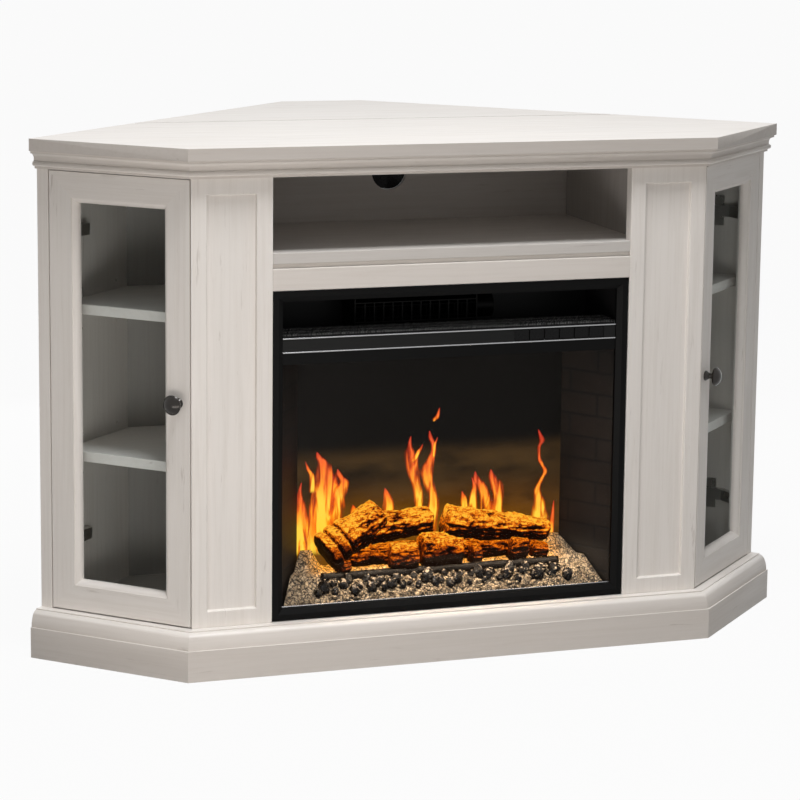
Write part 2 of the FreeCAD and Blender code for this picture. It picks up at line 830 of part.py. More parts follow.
def build_controls():
    half_bar = half_window - bar_gap
    key_row_end = half_bar - key_row_inset
    key_row_start = key_row_end - key_count * key_pitch
    key_low = bar_low + (bar_height - key_height) / 2
    bar = board((-half_bar, half_bar), (bar_front, bar_back), (bar_low, bar_high))
    slot_z = (key_low - key_play, key_low + key_height + key_play)
    slot = board((key_row_start, key_row_end), (bar_front, bar_back), slot_z)
    pieces["control_bar"] = bar.cut(slot)
    for number in range(key_count):
        x = key_row_start + number * key_pitch + (key_pitch - key_width) / 2
        corner = V(x, bar_front - key_proud, key_low)
        key = Part.makeBox(key_width, key_depth, key_height, corner)
        front = [edge for edge in key.Edges if abs(edge.BoundBox.YMax - corner.y) < key_chamfer]
        pieces["control_key_" + str(number + 1)] = key.makeChamfer(key_chamfer, front)
    strips = []
    sill = bezel_bottom + bezel_border
    places = ((bar_front, bar_low), (bar_front, bar_high - 2 * strip_radius), (casing_front, sill))
    for y, z in places:
        half_strip = [
            ((y, z), (y - strip_radius, z + strip_radius)),
            ((y, z + 2 * strip_radius), None),
        ]
        strip = section(half_strip, lambda depth, level: V(-half_bar, depth, level))
        strips.append(strip.extrude(V(2 * half_bar, 0, 0)))
    pieces["bright_strips"] = Part.makeCompound(strips)


def build_deck():
    top = bar_high
    deck_y = (bar_back, bar_back + deck_depth)
    solids = [board((-half_inside, half_inside), deck_y, (top - deck_thickness, top))]
    pitch = deck_depth / deck_rib_count
    for row in range(deck_rib_count):
        y = bar_back + (row + 1 / 2) * pitch - deck_rib / 2
        rib = board((-half_inside, half_inside), (y, y + deck_rib), (top, top + deck_rib_height))
        solids.append(rib)
    pieces["warm_air_deck"] = fused(solids)


def build_blower():
    left = blower_shift - blower_width / 2
    right = left + blower_width
    y, z = blower_axis_depth, divider_top + blower_axis_lift
    upper, lower = z + outlet_height / 2, z - outlet_height / 2
    inner = scroll_radius - scroll_wall
    scroll = [
        ((blower_front, upper), None),
        ((y, z + scroll_radius), (y + scroll_radius, z)),
        ((y, z - scroll_radius), None),
        ((blower_front, lower), None),
        ((blower_front, lower + scroll_wall), None),
        ((y, z - inner), (y + inner, z)),
        ((y, z + inner), None),
        ((blower_front, upper - scroll_wall), None),
    ]
    shell = section(scroll, lambda depth, level: V(left, depth, level)).extrude(V(blower_width, 0, 0))
    solids = [shell]
    plate_y = (blower_front, y + scroll_radius)
    for x in (left - blower_plate, right):
        plate = board((x, x + blower_plate), plate_y, (divider_top, z + scroll_radius))
        bore_radius = wheel_shaft_radius + pivot_play
        solids.append(plate.cut(rod(V(x - overrun, y, z), X_AXIS, blower_plate + 2 * overrun, bore_radius)))
    pitch = blower_width / (grille_bar_count + 1)
    for number in range(grille_bar_count):
        x = left + (number + 1) * pitch - grille_bar / 2
        bar_y = (blower_front, blower_front + grille_bar)
        solids.append(board((x, x + grille_bar), bar_y, (lower, upper)))
    motor_start = V(right + blower_plate, y, z)
    motor = rod(motor_start, X_AXIS, blower_motor_length, blower_motor_radius)
    socket = rod(motor_start, X_AXIS, blower_motor_length / 2, wheel_shaft_radius + pivot_play)
    pieces["blower_housing"] = Part.makeCompound([fused(solids), motor.cut(socket)])
    build_blower_wheel(left, right, V(0, y, z))
    build_heater(left, right, z)


def build_blower_wheel(left, right, axis):
    start, end = left + wheel_end_gap, right - wheel_end_gap
    length = end - start
    shaft_start = left - blower_plate
    shaft_length = right + blower_plate + blower_motor_length / 2 - wheel_end_gap - shaft_start
    solids = [rod(V(shaft_start, 0, 0), X_AXIS, shaft_length, wheel_shaft_radius)]
    for x in (start, (start + end - wheel_disc) / 2, end - wheel_disc):
        solids.append(rod(V(x, 0, 0), X_AXIS, wheel_disc, wheel_radius))
    for number in range(blade_count):
        blade_low = V(start, -blade_length / 2, -blade_thickness / 2)
        blade = Part.makeBox(length, blade_length, blade_thickness, blade_low)
        blade.rotate(ORIGIN, X_AXIS, blade_slant)
        blade.translate(V(0, wheel_radius - blade_length / 2 - blade_thickness, 0))
        blade.rotate(ORIGIN, X_AXIS, number * 360 / blade_count)
        solids.append(blade)
    pieces["blower_wheel"] = fused(solids).translated(axis)


def build_heater(left, right, z):
    """A finned heating element behind the outlet grille."""
    y = blower_front + grille_bar
    rail_y = (y, y + fin_depth)
    solids = []
    for low in (z - fin_height / 2, z + fin_height / 2 - fin_thickness):
        solids.append(board((left, right), rail_y, (low, low + fin_thickness)))
    pitch = blower_width / (fin_count + 1)
    for number in range(fin_count):
        x = left + (number + 1) * pitch - fin_thickness / 2
        fin_z = (z - fin_height / 2, z + fin_height / 2)
        solids.append(board((x, x + fin_thickness), rail_y, fin_z))
    pieces["heater_element"] = fused(solids)


def build_flame_drive():
    axis = V(0, rotor_depth, floor_top + rotor_lift)
    motor_start = half_inside - rotor_motor_length
    bearing_end = rotor_bearing - half_inside
    spindle_start = bearing_end - rotor_bearing * half_round
    spindle_end = motor_start + rotor_motor_length / 2
    solids = [rod(V(spindle_start, 0, 0), X_AXIS, spindle_end - spindle_start, rotor_radius)]
    pitch = (motor_start - bearing_end) / (tab_count + 1)
    for number in range(tab_count):
        low = V(bearing_end + (number + 1) * pitch - tab_length / 2, 0, -tab_thickness / 2)
        tab = Part.makeBox(tab_length, tab_width, tab_thickness, low)
        tab.rotate(ORIGIN, X_AXIS, number * tab_turn)
        solids.append(tab)
    pieces["flame_rotor"] = fused(solids).translated(axis)
    bore_radius = rotor_radius + pivot_play
    motor = rod(V(motor_start, 0, 0), X_AXIS, rotor_motor_length, rotor_motor_radius)
    motor = motor.cut(rod(V(motor_start, 0, 0), X_AXIS, rotor_motor_length * half_round, bore_radius))
    bearing = rod(V(-half_inside, 0, 0), X_AXIS, rotor_bearing, rotor_bearing)
    bearing = bearing.cut(rod(V(bearing_end, 0, 0), V(-1, 0, 0), rotor_bearing, bore_radius))
    pieces["rotor_motor"] = Part.makeCompound([motor.translated(axis), bearing.translated(axis)])
    board_y = (rotor_depth - board_depth / 2, rotor_depth + board_depth / 2)
    half_board = half_inside - board_inset
    lamps = [board((-half_board, half_board), board_y, (hearth, hearth + board_thickness))]
    lamp_pitch = 2 * half_board / lamp_count
    for number in range(lamp_count):
        x = (number + 1 / 2) * lamp_pitch - half_board - lamp_size / 2
        lamp_low = V(x, rotor_depth - lamp_size / 2, hearth + board_thickness)
        lamps.append(Part.makeBox(lamp_size, lamp_size, lamp_height, lamp_low))
    pieces["lamp_board"] = fused(lamps)
    gland = V(half_casing - gland_inset, casing_back, floor_top + gland_lift)
    flange = rod(gland, Y_AXIS, gland_flange, gland_flange_radius)
    nose = Part.makeCone(gland_nose_radius, gland_nose_radius * half_round, gland_nose, gland, Y_AXIS)
    bore = rod(gland, Y_AXIS, gland_nose, gland_bore_radius)
    pieces["cord_gland"] = fused([flange, nose]).cut(bore)


def log_solid(start, end):
    """A hewn log: a nine-sided section that swells and narrows between its two ends."""
    points = []
    for x_share, y_share, z_share, radius_share in (start, end):
        x = x_share * half_bed
        y = bed_front + y_share * bed_depth
        z = hearth + bed_shelf_height + z_share * log_pile_height
        points.append((V(x, y, z), radius_share * log_radius))
    (first, r_first), (last, r_last) = points
    axis = (last - first).normalize()
    side = axis.cross(Y_AXIS).normalize()
    up = side.cross(axis)
    rings = []
    for station in range(log_stations):
        share = station / (log_stations - 1)
        centre = first + (last - first) * share
        radius = r_first + (r_last - r_first) * share
        ring = []
        for corner in range(log_sides):
            bark = log_bark_shares[(corner + 2 * station) % len(log_bark_shares)]
            angle = 2 * math.pi * corner / log_sides
            offset = side * math.cos(angle) + up * math.sin(angle)
            ring.append(centre + offset * (radius * bark))
        rings.append(Part.makePolygon(ring + ring[:1]))
    return Part.makeLoft(rings, True, True)


def build_fire():
    """A cast ember bed with raised wings, a grate bar across it and the log pile in its hollow."""
    back_y = bed_front + bed_depth

    def rim(half, y, top):
        ring = [V(-half, y, hearth), V(half, y, hearth), V(half, y, hearth + top), V(-half, y, hearth + top)]
        return Part.makePolygon(ring + ring[:1])

    shelf_z = hearth + bed_shelf_height
    profile = [
        ((bed_front, hearth), None),
        ((bed_front, hearth + bed_front_height), None),
        ((bed_front + bed_shelf_depth, shelf_z), None),
        ((back_y, shelf_z), None),
        ((back_y, hearth), None),
    ]
    slope = section(profile, lambda y, z: V(-half_bed, y, z)).extrude(V(2 * half_bed, 0, 0))
    plan = both_halves([V(half_bed, bed_front, 0), V(half_bed - bed_taper, back_y, 0)])
    front_rim = rim(half_bed, bed_front, bed_front_height)
    back_rim = rim(half_bed - bed_taper, back_y, bed_wing_height)
    inner = half_bed - bed_wing
    between = board((-inner, inner), (bed_front, back_y), (hearth, hearth + bed_wing_height))
    wings = Part.makeLoft([front_rim, back_rim], True, True).cut(between)
    bed = fused([slope.common(prism(plan, hearth, shelf_z))] + wings.Solids)
    bar_y = bed_front + bed_shelf_depth - grate_radius
    bar_z = shelf_z
    bar_end = half_bed - grate_inset
    bar = rod(V(-bar_end, bar_y, bar_z), X_AXIS, 2 * bar_end, grate_radius).cut(bed)
    pieces["ember_bed"] = Part.makeCompound([bed, bar])
    logs = []
    for start, end in reversed(log_shares):
        log = log_solid(start, end)
        for other in [bed, bar] + logs:
            log = log.cut(other)
        logs.append(max(log.Solids, key=lambda solid: solid.Volume))
    pieces["log_pile"] = Part.makeCompound(logs)


leaf_back_y = build_tops()
build_moulding("crown", crown_outline(), top_overhang)
build_moulding("base", base_outline(), base_overhang)
build_carcass()
build_front()
build_shelves()
build_doors()
build_leaf_hinges()
build_prop()
build_bezel()
build_casing()
build_controls()
build_deck()
build_blower()
build_flame_drive()
build_fire()

os.makedirs("parts", exist_ok=True)
to_middle = V(0, (base_overhang - leaf_back_y) / 2, 0)
for name, shape in pieces.items():
    shape.translate(to_middle)
    shape.exportStep("parts/" + name + ".step")
print(len(pieces), "pieces; front face at y =", to_middle.y)
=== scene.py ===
import math
import random

import bmesh
import bpy
from mathutils import Matrix, Vector, noise


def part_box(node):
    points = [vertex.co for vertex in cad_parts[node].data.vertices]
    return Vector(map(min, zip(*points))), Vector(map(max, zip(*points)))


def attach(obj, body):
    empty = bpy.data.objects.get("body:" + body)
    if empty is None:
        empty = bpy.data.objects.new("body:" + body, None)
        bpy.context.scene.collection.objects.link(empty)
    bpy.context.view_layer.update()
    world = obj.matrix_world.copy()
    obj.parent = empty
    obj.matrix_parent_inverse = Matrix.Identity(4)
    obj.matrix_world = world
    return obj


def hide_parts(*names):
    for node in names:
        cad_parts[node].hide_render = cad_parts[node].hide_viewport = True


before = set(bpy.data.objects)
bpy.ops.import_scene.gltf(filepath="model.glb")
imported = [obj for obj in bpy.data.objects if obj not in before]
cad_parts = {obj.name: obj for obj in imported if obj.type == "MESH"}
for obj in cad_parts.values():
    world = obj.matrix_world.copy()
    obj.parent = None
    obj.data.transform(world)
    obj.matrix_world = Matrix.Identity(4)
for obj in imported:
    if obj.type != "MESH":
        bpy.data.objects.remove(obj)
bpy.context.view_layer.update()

# A corner fireplace cabinet in white-washed wood, with a lit fire insert. Metres, in the CAD frame.

# Camera, from the vanishing lines of the cabinet's edges
camera_place = (-1.3938, -4.2937, 1.2353)
camera_yaw = math.radians(19.22)
camera_pitch = math.radians(9.44)
camera_roll = math.radians(0.77)
focal_share = 3.4231
camera_shift = (-0.054, -0.1033)

# Lamps: place, target, size, power in watts and colour. A soft box overhead, one behind and below the top,
# a low reflector in front and a warm strip behind the fire glass
lamps = {
    "key": ((-0.14, -1.02, 2.95), (-0.05, -0.20, 0.55), (0.62, 0.46), 52.0, (0.985, 0.99, 1.0)),
    "back": ((0.40, 1.75, 0.42), (0.02, 0.15, 0.42), (1.3, 0.5), 13.0, (0.99, 0.995, 1.0)),
    "reflector": ((-0.56, -1.45, 0.06), (-0.05, -0.30, 1.20), (1.6, 0.55), 11.8, (1.0, 0.93, 0.87)),
    "ember_lamp": ((0.02, -0.3275, 0.150), (0.02, -0.300, 0.095), (0.44, 0.008), 0.31, (1.0, 0.80, 0.58)),
}
# The room: its dim light at eye level and overhead, and the white that the camera sees of it
sky_low, sky_high = 0.04, 0.44
sky_tint = (1.0, 0.985, 0.965, 1.0)
plain_white = (1, 1, 1, 1)
sky_whiteness, floor_whiteness = 1.0, 0.95
floor_size = 160.0
floor_drop = 0.0005

# Grain runs along X after each of these turns
grain_turns = {
    "across": (0, 0, 0),
    "upright": (0, math.pi / 2, 0),
    "right_face": (0, 0, -math.pi / 4),
    "left_face": (0, 0, math.pi / 4),
}
# The wash: its coat, where it lies thin, where it greys and the undercoat
wash_colours = ((0.815, 0.775, 0.735), (0.725, 0.680, 0.632), (0.760, 0.732, 0.700), (0.43, 0.375, 0.33))
# How pale the wash is on each kind of board. The slab's lower tone is painted shade on the top and its edge,
# the inner and side boards' lower tones are painted shade in the bay and inside the cabinet, and the shelves'
# higher tone is painted light on their edges
wash_and_shade_tones = {"panel": 1.0, "shelf": 1.12, "slab": 0.86, "rail": 1.0, "moulding": 1.0, "inner": 0.72,
              "side": 0.54}
# Painted shade: upright faces of these boards are darkened towards the brown undercoat colour
upright_shade_tints = {"slab": 0.44, "rail": 0.30, "moulding": 0.34}
# Boards by the run of their grain and by kind
wood_pieces = {
    ("across", "slab"): ("main_top", "rear_leaf"),
    ("across", "rail"): ("top_rail", "fascia_rail"),
    ("across", "shelf"): ("side_shelves",),
    ("upright", "panel"): ("end_panel_left", "end_panel_right", "pilaster_left", "pilaster_right",
                           "door_stiles_left", "door_stiles_right"),
    ("right_face", "panel"): ("door_rails_right",),
    ("left_face", "panel"): ("door_rails_left",),
    ("across", "moulding"): ("crown_front", "base_front"),
    ("right_face", "moulding"): ("crown_right", "base_right"),
    ("left_face", "moulding"): ("crown_left", "base_left"),
    ("across", "inner"): ("bottom_panel", "media_shelf", "media_back"),
    ("upright", "side"): ("partition_left", "partition_right", "side_backs"),
}
# Mitred frames keep their sharp edges, so that the joints stay flush; other boards are sanded
flush_joints = ("door_stiles_left", "door_stiles_right", "door_rails_left", "door_rails_right")
edge_rounds = {"slab": 0.0002, "panel": 0.0011, "shelf": 0.0011, "rail": 0.0011, "moulding": 0.0011,
               "inner": 0.0008, "side": 0.0008}
sanded_angle = math.radians(40)
weld_reach = 1e-6

# The cable hole and its cover, a thin dished disc with an eye in the middle and petals that overlap
cable_hole_radius = 0.0298
cable_hole_lift = 0.080
cover_inset = 0.0012
cover_thickness = 0.0010
cover_petals = 8
cover_rings, cover_steps = 6, 8
cover_eye = 0.03
cover_dish = 0.0025
petal_spread = 0.4
petal_overlap = 0.03

# The fire, measured from the middle of the insert
hearth = 0.077
bed_front_y = -0.3313
bed_depth = 0.082
bed_half = 0.269
bed_taper = 0.051
bed_front_rise = 0.015
bed_shelf_rise = 0.057
bed_shelf_depth = 0.036
bed_wing_rise = 0.084
bed_wing = 0.076
bed_wing_blend = 0.014
# Its relief, which fades towards the rim
bed_rows, bed_columns = 60, 300
bed_grit, bed_lumps, bed_sink = 0.0024, 0.0032, 0.0014
fade_side, fade_end, fade_least = 12, 30, 0.15

# Coals and gravel: how many, how far across and back as shares of the bed, and their sizes
stone_rough, stone_flake = 0.30, 0.10
golden_angle = 2.399
coal_count, coal_spread, coal_radii = 46, 0.79, (0.0052, 0.0098)
coal_back, coal_back_step, coal_back_steps = 0.17, 0.12, 3
coal_stray_across, coal_stray_back = 0.012, 0.025
coal_squash, coal_lift = (0.9, 1.6), 0.05
gravel_count, gravel_spread, gravel_radii = 520, 0.95, (0.0012, 0.0036)
gravel_front, gravel_front_back, gravel_wing_back = 0.74, (0.04, 0.40), (0.05, 0.93)
gravel_squash, gravel_lift, gravel_seed = 0.8, 0.1, 200

# The grate bar, an upright oval set into the edge of the bed's shelf
grate_rows, grate_columns = 60, 14
grate_radius, grate_height = 0.0045, 0.0075
grate_half = 0.199
grate_sag, grate_rough = 0.0012, 0.10
grate_set_forward, grate_sink = 1.6, 0.9

# The brick face of the liners
liner_top = 0.489
liner_slant = 1.21
brick_length, brick_height, mortar_width = 0.105, 0.036, 0.0022

# Flame ribbons, one just in front of the other, with rows for each station
screen_gap, flame_layer_gap = 0.0012, 0.0001
flame_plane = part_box("flame_screen")[0].y - screen_gap
flame_columns, flame_rows = 7, 8
flame_spread, flame_least_half = 1.22, 0.0004


class Term:
    """A socket of one finish; sums and products of terms add its Math nodes."""

    def __init__(self, finish, socket):
        self.finish = finish
        self.socket = socket

    def math(self, operation, *terms):
        return self.finish.node("Math", {"operation": operation}, dict(enumerate(terms)))

    def __add__(self, other):
        return self.math("ADD", self, other)

    def __sub__(self, other):
        return self.math("SUBTRACT", self, other)

    def __rsub__(self, other):
        return self.math("SUBTRACT", other, self)

    def __mul__(self, other):
        return self.math("MULTIPLY", self, other)

    def __abs__(self):
        return self.math("ABSOLUTE", self)

    __radd__ = __add__
    __rmul__ = __mul__

    def rising(self, start, end):
        """0 before start and 1 after end, with a soft change between; end may lie below start."""
        ends = {"Value": self, "From Min": start, "From Max": end}
        return self.finish.node("MapRange", {"interpolation_type": "SMOOTHSTEP"}, ends)


class Finish:
    """One material, or the nodes of another owner: node() adds any node, surface() and close() end it."""

    def __init__(self, name, owner=None):
        self.owner = owner or bpy.data.materials.new(name)
        self.owner.use_nodes = True
        self.tree = self.owner.node_tree
        self.tree.nodes.clear()

    def node(self, kind, settings, sockets, output=0):
        node = self.tree.nodes.new("ShaderNode" + kind)
        for name, value in settings.items():
            setattr(node, name, value)
        for name, value in sockets.items():
            if isinstance(value, Term):
                self.tree.links.new(value.socket, node.inputs[name])
            else:
                node.inputs[name].default_value = value
        return Term(self, node.outputs[output])

    def place(self):
        return self.node("TexCoord", {}, {}, "Object")

    def parts(self, vector):
        split = self.node("SeparateXYZ", {}, {"Vector": vector})
        return [Term(self, socket) for socket in split.socket.node.outputs]

    def stretch(self, vector, scale):
        return self.node("Mapping", {}, {"Vector": vector, "Scale": scale})

    def cloud(self, vector, scale, detail=4.0, roughness=0.55, distortion=0.0):
        """Noise; scale is in bumps to the metre."""
        sockets = {"Vector": vector, "Scale": scale, "Detail": detail, "Roughness": roughness,
                   "Distortion": distortion}
        return self.node("TexNoise", {}, sockets)

    def blend(self, factor, first, second):
        """Colours, mixed by a factor."""
        first, second = [c if isinstance(c, Term) else (*c, 1.0) for c in (first, second)]
        return self.node("Mix", {"data_type": "RGBA"}, {0: factor, 6: first, 7: second}, 2)

    def bump(self, height, strength, distance):
        return self.node("Bump", {}, {"Height": height, "Strength": strength, "Distance": distance})

    def surface(self, **sockets):
        """Closes with the principled shader; base_color and the like name its sockets."""
        names = {}
        for name, value in sockets.items():
            colour = isinstance(value, tuple) and len(value) == 3
            socket = name.replace("_", " ").title().replace("Ior", "IOR")
            names[socket] = (*value, 1.0) if colour else value
        return self.close(self.node("BsdfPrincipled", {}, names))

    def close(self, shader, output="OutputMaterial"):
        end = self.tree.nodes.new("ShaderNode" + output)
        self.tree.links.new(shader.socket, end.inputs["Surface"])
        return self.owner


# Finishes
def washed_wood(grain, tone):
    """Ivory wash over closed grain: faint streaks, broad clouds, short pores and a few rubbed scuffs, with
    painted shade on the upright faces of some boards.
    """
    finish = Finish("washed_wood_" + tone + "_" + grain)
    own = finish.node("ObjectInfo", {}, {}, "Random")
    turned = finish.node("VectorRotate", {"rotation_type": "EULER_XYZ"},
                         {"Vector": finish.place(), "Rotation": grain_turns[grain]})
    shifted = finish.node("VectorMath", {"operation": "ADD"}, {0: turned, 1: own * 7.0})
    streaks = finish.cloud(finish.stretch(shifted, (2.6, 75.0, 75.0)), 2.0, 6.0, 0.62, 0.5)
    clouds = finish.cloud(finish.stretch(shifted, (1.4, 6.0, 6.0)), 2.4, 3.0, 0.5)
    pores = finish.cloud(finish.stretch(shifted, (22.0, 480.0, 480.0)), 2.2, 2.0, 0.5)
    scuffs = finish.cloud(finish.stretch(shifted, (9.0, 110.0, 110.0)), 1.3, 4.0, 0.62, 0.3)
    wash = streaks.rising(0.38, 0.70)
    pore = pores.rising(0.66, 0.76) * streaks.rising(0.42, 0.62)
    scuff = scuffs.rising(0.62, 0.73) * clouds.rising(0.43, 0.60)
    # The tone holds painted shade or painted light for the slab, shelf, inner and side boards
    tint = wash_and_shade_tones[tone]
    ivory, beige, grey, brown = [tuple(tint * c for c in colour) for colour in wash_colours]
    colour = finish.blend(wash * 0.55, ivory, beige)
    colour = finish.blend(clouds.rising(0.40, 0.70) * 0.32, colour, grey)
    colour = finish.blend(pore * 0.24, colour, brown)
    colour = finish.blend(scuff * 0.42, colour, brown)
    upright_faces = abs(finish.parts(finish.node("NewGeometry", {}, {}, "Normal"))[2]).rising(0.75, 0.35)
    # Painted shade: upright faces are blended towards the brown undercoat colour
    if tone in upright_shade_tints:
        colour = finish.blend(upright_faces * upright_shade_tints[tone], colour, brown)
    relief = 0.5 * streaks - pore - 0.5 * scuff
    return finish.surface(base_color=colour, roughness=0.40 + 0.12 * wash + 0.14 * scuff + 0.06 * upright_faces,
                          normal=finish.bump(relief, 0.14, 0.0006))


def bare_wood():
    finish = Finish("bare_softwood")
    grain = finish.cloud(finish.stretch(finish.place(), (30.0, 30.0, 3.0)), 3.0, 5.0, 0.6, 0.6)
    pale, dark = (0.62, 0.47, 0.31), (0.42, 0.28, 0.16)
    colour = finish.blend(grain.rising(0.35, 0.65), pale, dark)
    return finish.surface(base_color=colour, roughness=0.62 + 0.2 * grain,
                          normal=finish.bump(grain, 0.3, 0.001))


def metal(name, colour, second, roughness, metallic, grain_scale, brushed=(1.0, 1.0, 1.0), relief=0.05,
          specular=0.5):
    """Coated or plated metal: a mottled tone, a slightly uneven gloss and a fine tooth."""
    finish = Finish(name)
    place = finish.stretch(finish.place(), brushed)
    tone = finish.cloud(place, grain_scale, 5.0, 0.6)
    broad = finish.cloud(finish.place(), 9.0, 3.0)
    base = finish.blend(0.5 * tone + 0.5 * broad, colour, second)
    gloss = roughness + 0.22 * roughness * (tone - 0.5) + 0.3 * roughness * (broad - 0.5)
    return finish.surface(base_color=base, roughness=gloss, metallic=metallic, specular_ior_level=specular,
                          normal=finish.bump(tone, relief, 0.0003))


def dotted_sheet():
    """Black deck sheet with rows of short pressed dots, whose tops are painted paler than the coat as painted
    highlights, in patches.
    """
    finish = Finish("dotted_sheet")
    place = finish.place()
    patchiness = finish.cloud(place, 160.0, 3.0, 0.6)
    dots = finish.node("TexVoronoi", {"voronoi_dimensions": "2D"}, {
        "Vector": finish.stretch(place, (230.0, 80.0, 1.0)), "Scale": 1.0, "Randomness": 0.25})
    # Painted highlight: the raised dots are painted pale, more strongly in patches; the dots also make the
    # bump
    raised_and_lit = dots.rising(0.45, 0.20) * (0.35 + 0.65 * patchiness.rising(0.30, 0.65))
    coat, worn_and_lit = (0.008, 0.008, 0.008), (0.62, 0.62, 0.62)
    colour = finish.blend(raised_and_lit, coat, worn_and_lit)
    return finish.surface(base_color=colour, roughness=0.38 + 0.2 * (patchiness - 0.5), specular_ior_level=0.20,
                          normal=finish.bump(raised_and_lit, 0.4, 0.0006))


def plastic(name, colour, second, roughness, grain_scale):
    finish = Finish(name)
    tone = finish.cloud(finish.place(), grain_scale, 4.0, 0.6)
    broad = finish.cloud(finish.place(), 14.0, 2.0)
    base = finish.blend(broad, colour, second)
    return finish.surface(base_color=base, roughness=roughness + 0.12 * (tone - 0.5), specular_ior_level=0.10,
                          normal=finish.bump(tone, 0.06, 0.0002))


def pane(name, tint, ior, haze):
    """Clear glass that lets light through: a see-through body under a fresnel gloss."""
    finish = Finish(name)
    smear = finish.cloud(finish.place(), 5.0, 3.0)
    inner_face = finish.node("NewGeometry", {}, {}, "Backfacing")
    sheen = finish.node("Fresnel", {}, {"IOR": ior}) * (1 - inner_face)
    clear = finish.node("BsdfTransparent", {}, {"Color": (*tint, 1.0)})
    mirror = (0.9, 0.92, 0.92, 1.0)
    gloss = finish.node("BsdfPrincipled", {}, {
        "Base Color": mirror, "Roughness": haze + 0.03 * smear, "Metallic": 1.0})
    return finish.close(finish.node("MixShader", {}, {0: sheen, 1: clear, 2: gloss}))


def brick_lined_steel():
    """Black sheet; the splayed liners beside the fire carry a moulded brick face."""
    finish = Finish("brick_lined_steel")
    place = finish.place()
    _, y, z = finish.parts(place)
    normal = finish.parts(finish.node("NewGeometry", {}, {}, "Normal"))
    splayed = abs(normal[1]).rising(0.5, 0.75) * abs(normal[0]).rising(0.5, 0.75)
    liner = splayed * (liner_top - z).rising(0.0, 0.002)
    face = finish.node("CombineXYZ", {}, {"X": y * liner_slant, "Y": z, "Z": 0.0})
    bricks = finish.node("TexBrick", {"offset": 0.5}, {
        "Vector": face, "Scale": 1.0, "Mortar Size": mortar_width, "Mortar Smooth": 0.4,
        "Brick Width": brick_length, "Row Height": brick_height}, "Fac")
    rough = finish.cloud(place, 90.0, 5.0, 0.65)
    soot = finish.cloud(place, 12.0, 3.0)
    burnt, clay, mortar = (0.054, 0.036, 0.019), (0.135, 0.086, 0.044), (0.008, 0.006, 0.005)
    black, worn_and_lit = (0.012, 0.012, 0.0125), (0.020, 0.020, 0.021)
    brick = finish.blend(rough * soot.rising(0.3, 0.7), burnt, clay)
    brick = finish.blend(bricks, brick, mortar)
    sheet = finish.blend(soot, black, worn_and_lit)
    colour = finish.blend(liner, sheet, brick)
    relief = liner * (0.5 * rough - 1.2 * bricks) + 0.04 * rough
    return finish.surface(base_color=colour, roughness=0.45 + 0.4 * liner, specular_ior_level=0.15,
                          normal=finish.bump(relief, 0.5, 0.002))


def glowing_screen():
    """Smoked screen behind the fire, with painted light: a brown haze of glow low down, amber light at the
    logs, near black above.
    """
    finish = Finish("smoked_screen")
    place = finish.place()
    x, _, z = finish.parts(place)
    drift = finish.cloud(finish.stretch(place, (5.0, 1.0, 12.0)), 1.6, 4.0, 0.6)
    # Painted light: the emission stands in for the light thrown on the screen from inside the insert
    haze = (z + 0.012 * drift).rising(0.335, 0.300) * drift.rising(0.25, 0.75)
    amber = (z + 0.05 * drift).rising(0.300, 0.200) * abs(x).rising(0.32, 0.10) * drift.rising(0.1, 0.7)
    smoked, hazy, lit = (0.0014, 0.0010, 0.0007), (0.064, 0.034, 0.010), (0.270, 0.096, 0.005)
    light = finish.blend(haze, smoked, hazy)
    light = finish.blend(amber, light, lit)
    return finish.surface(base_color=(0.004, 0.0035, 0.003), roughness=0.30 + 0.1 * drift,
                          specular_ior_level=0.08, emission_color=light, emission_strength=1.0)


def flame_light():
    """Tongues of fire: yellow heart, orange body, red rim and tip, with darker licks running up them."""
    finish = Finish("flame_light")
    across, along, _ = finish.parts(finish.node("UVMap", {"uv_map": "flame"}, {}))
    place = finish.place()
    lick = finish.cloud(finish.stretch(place, (95.0, 1.0, 17.0)), 1.0, 2.5, 0.5, 0.9)
    edge = abs(across - 0.5) * 2.0
    depth = 1.0 - edge + 1.3 * (lick - 0.5)
    glow_level = depth.rising(-0.05, 0.80) * (1.44 - 1.38 * along) * (0.42 + 0.75 * lick.rising(0.28, 0.66))
    red, orange = (0.50, 0.018, 0.005), (0.90, 0.120, 0.006)
    amber, yellow = (1.0, 0.31, 0.007), (1.0, 0.64, 0.045)
    colour = finish.blend(glow_level.rising(0.06, 0.42), red, orange)
    colour = finish.blend(glow_level.rising(0.40, 0.80), colour, amber)
    colour = finish.blend(glow_level.rising(0.76, 1.20), colour, yellow)
    cover = depth.rising(0.0, 0.72) * along.rising(0.0, 0.10) * (0.50 + 0.50 * lick.rising(0.22, 0.52))
    return finish.surface(base_color=(0.02, 0.008, 0.003), roughness=0.6, emission_color=colour,
                          emission_strength=1.15, alpha=cover)


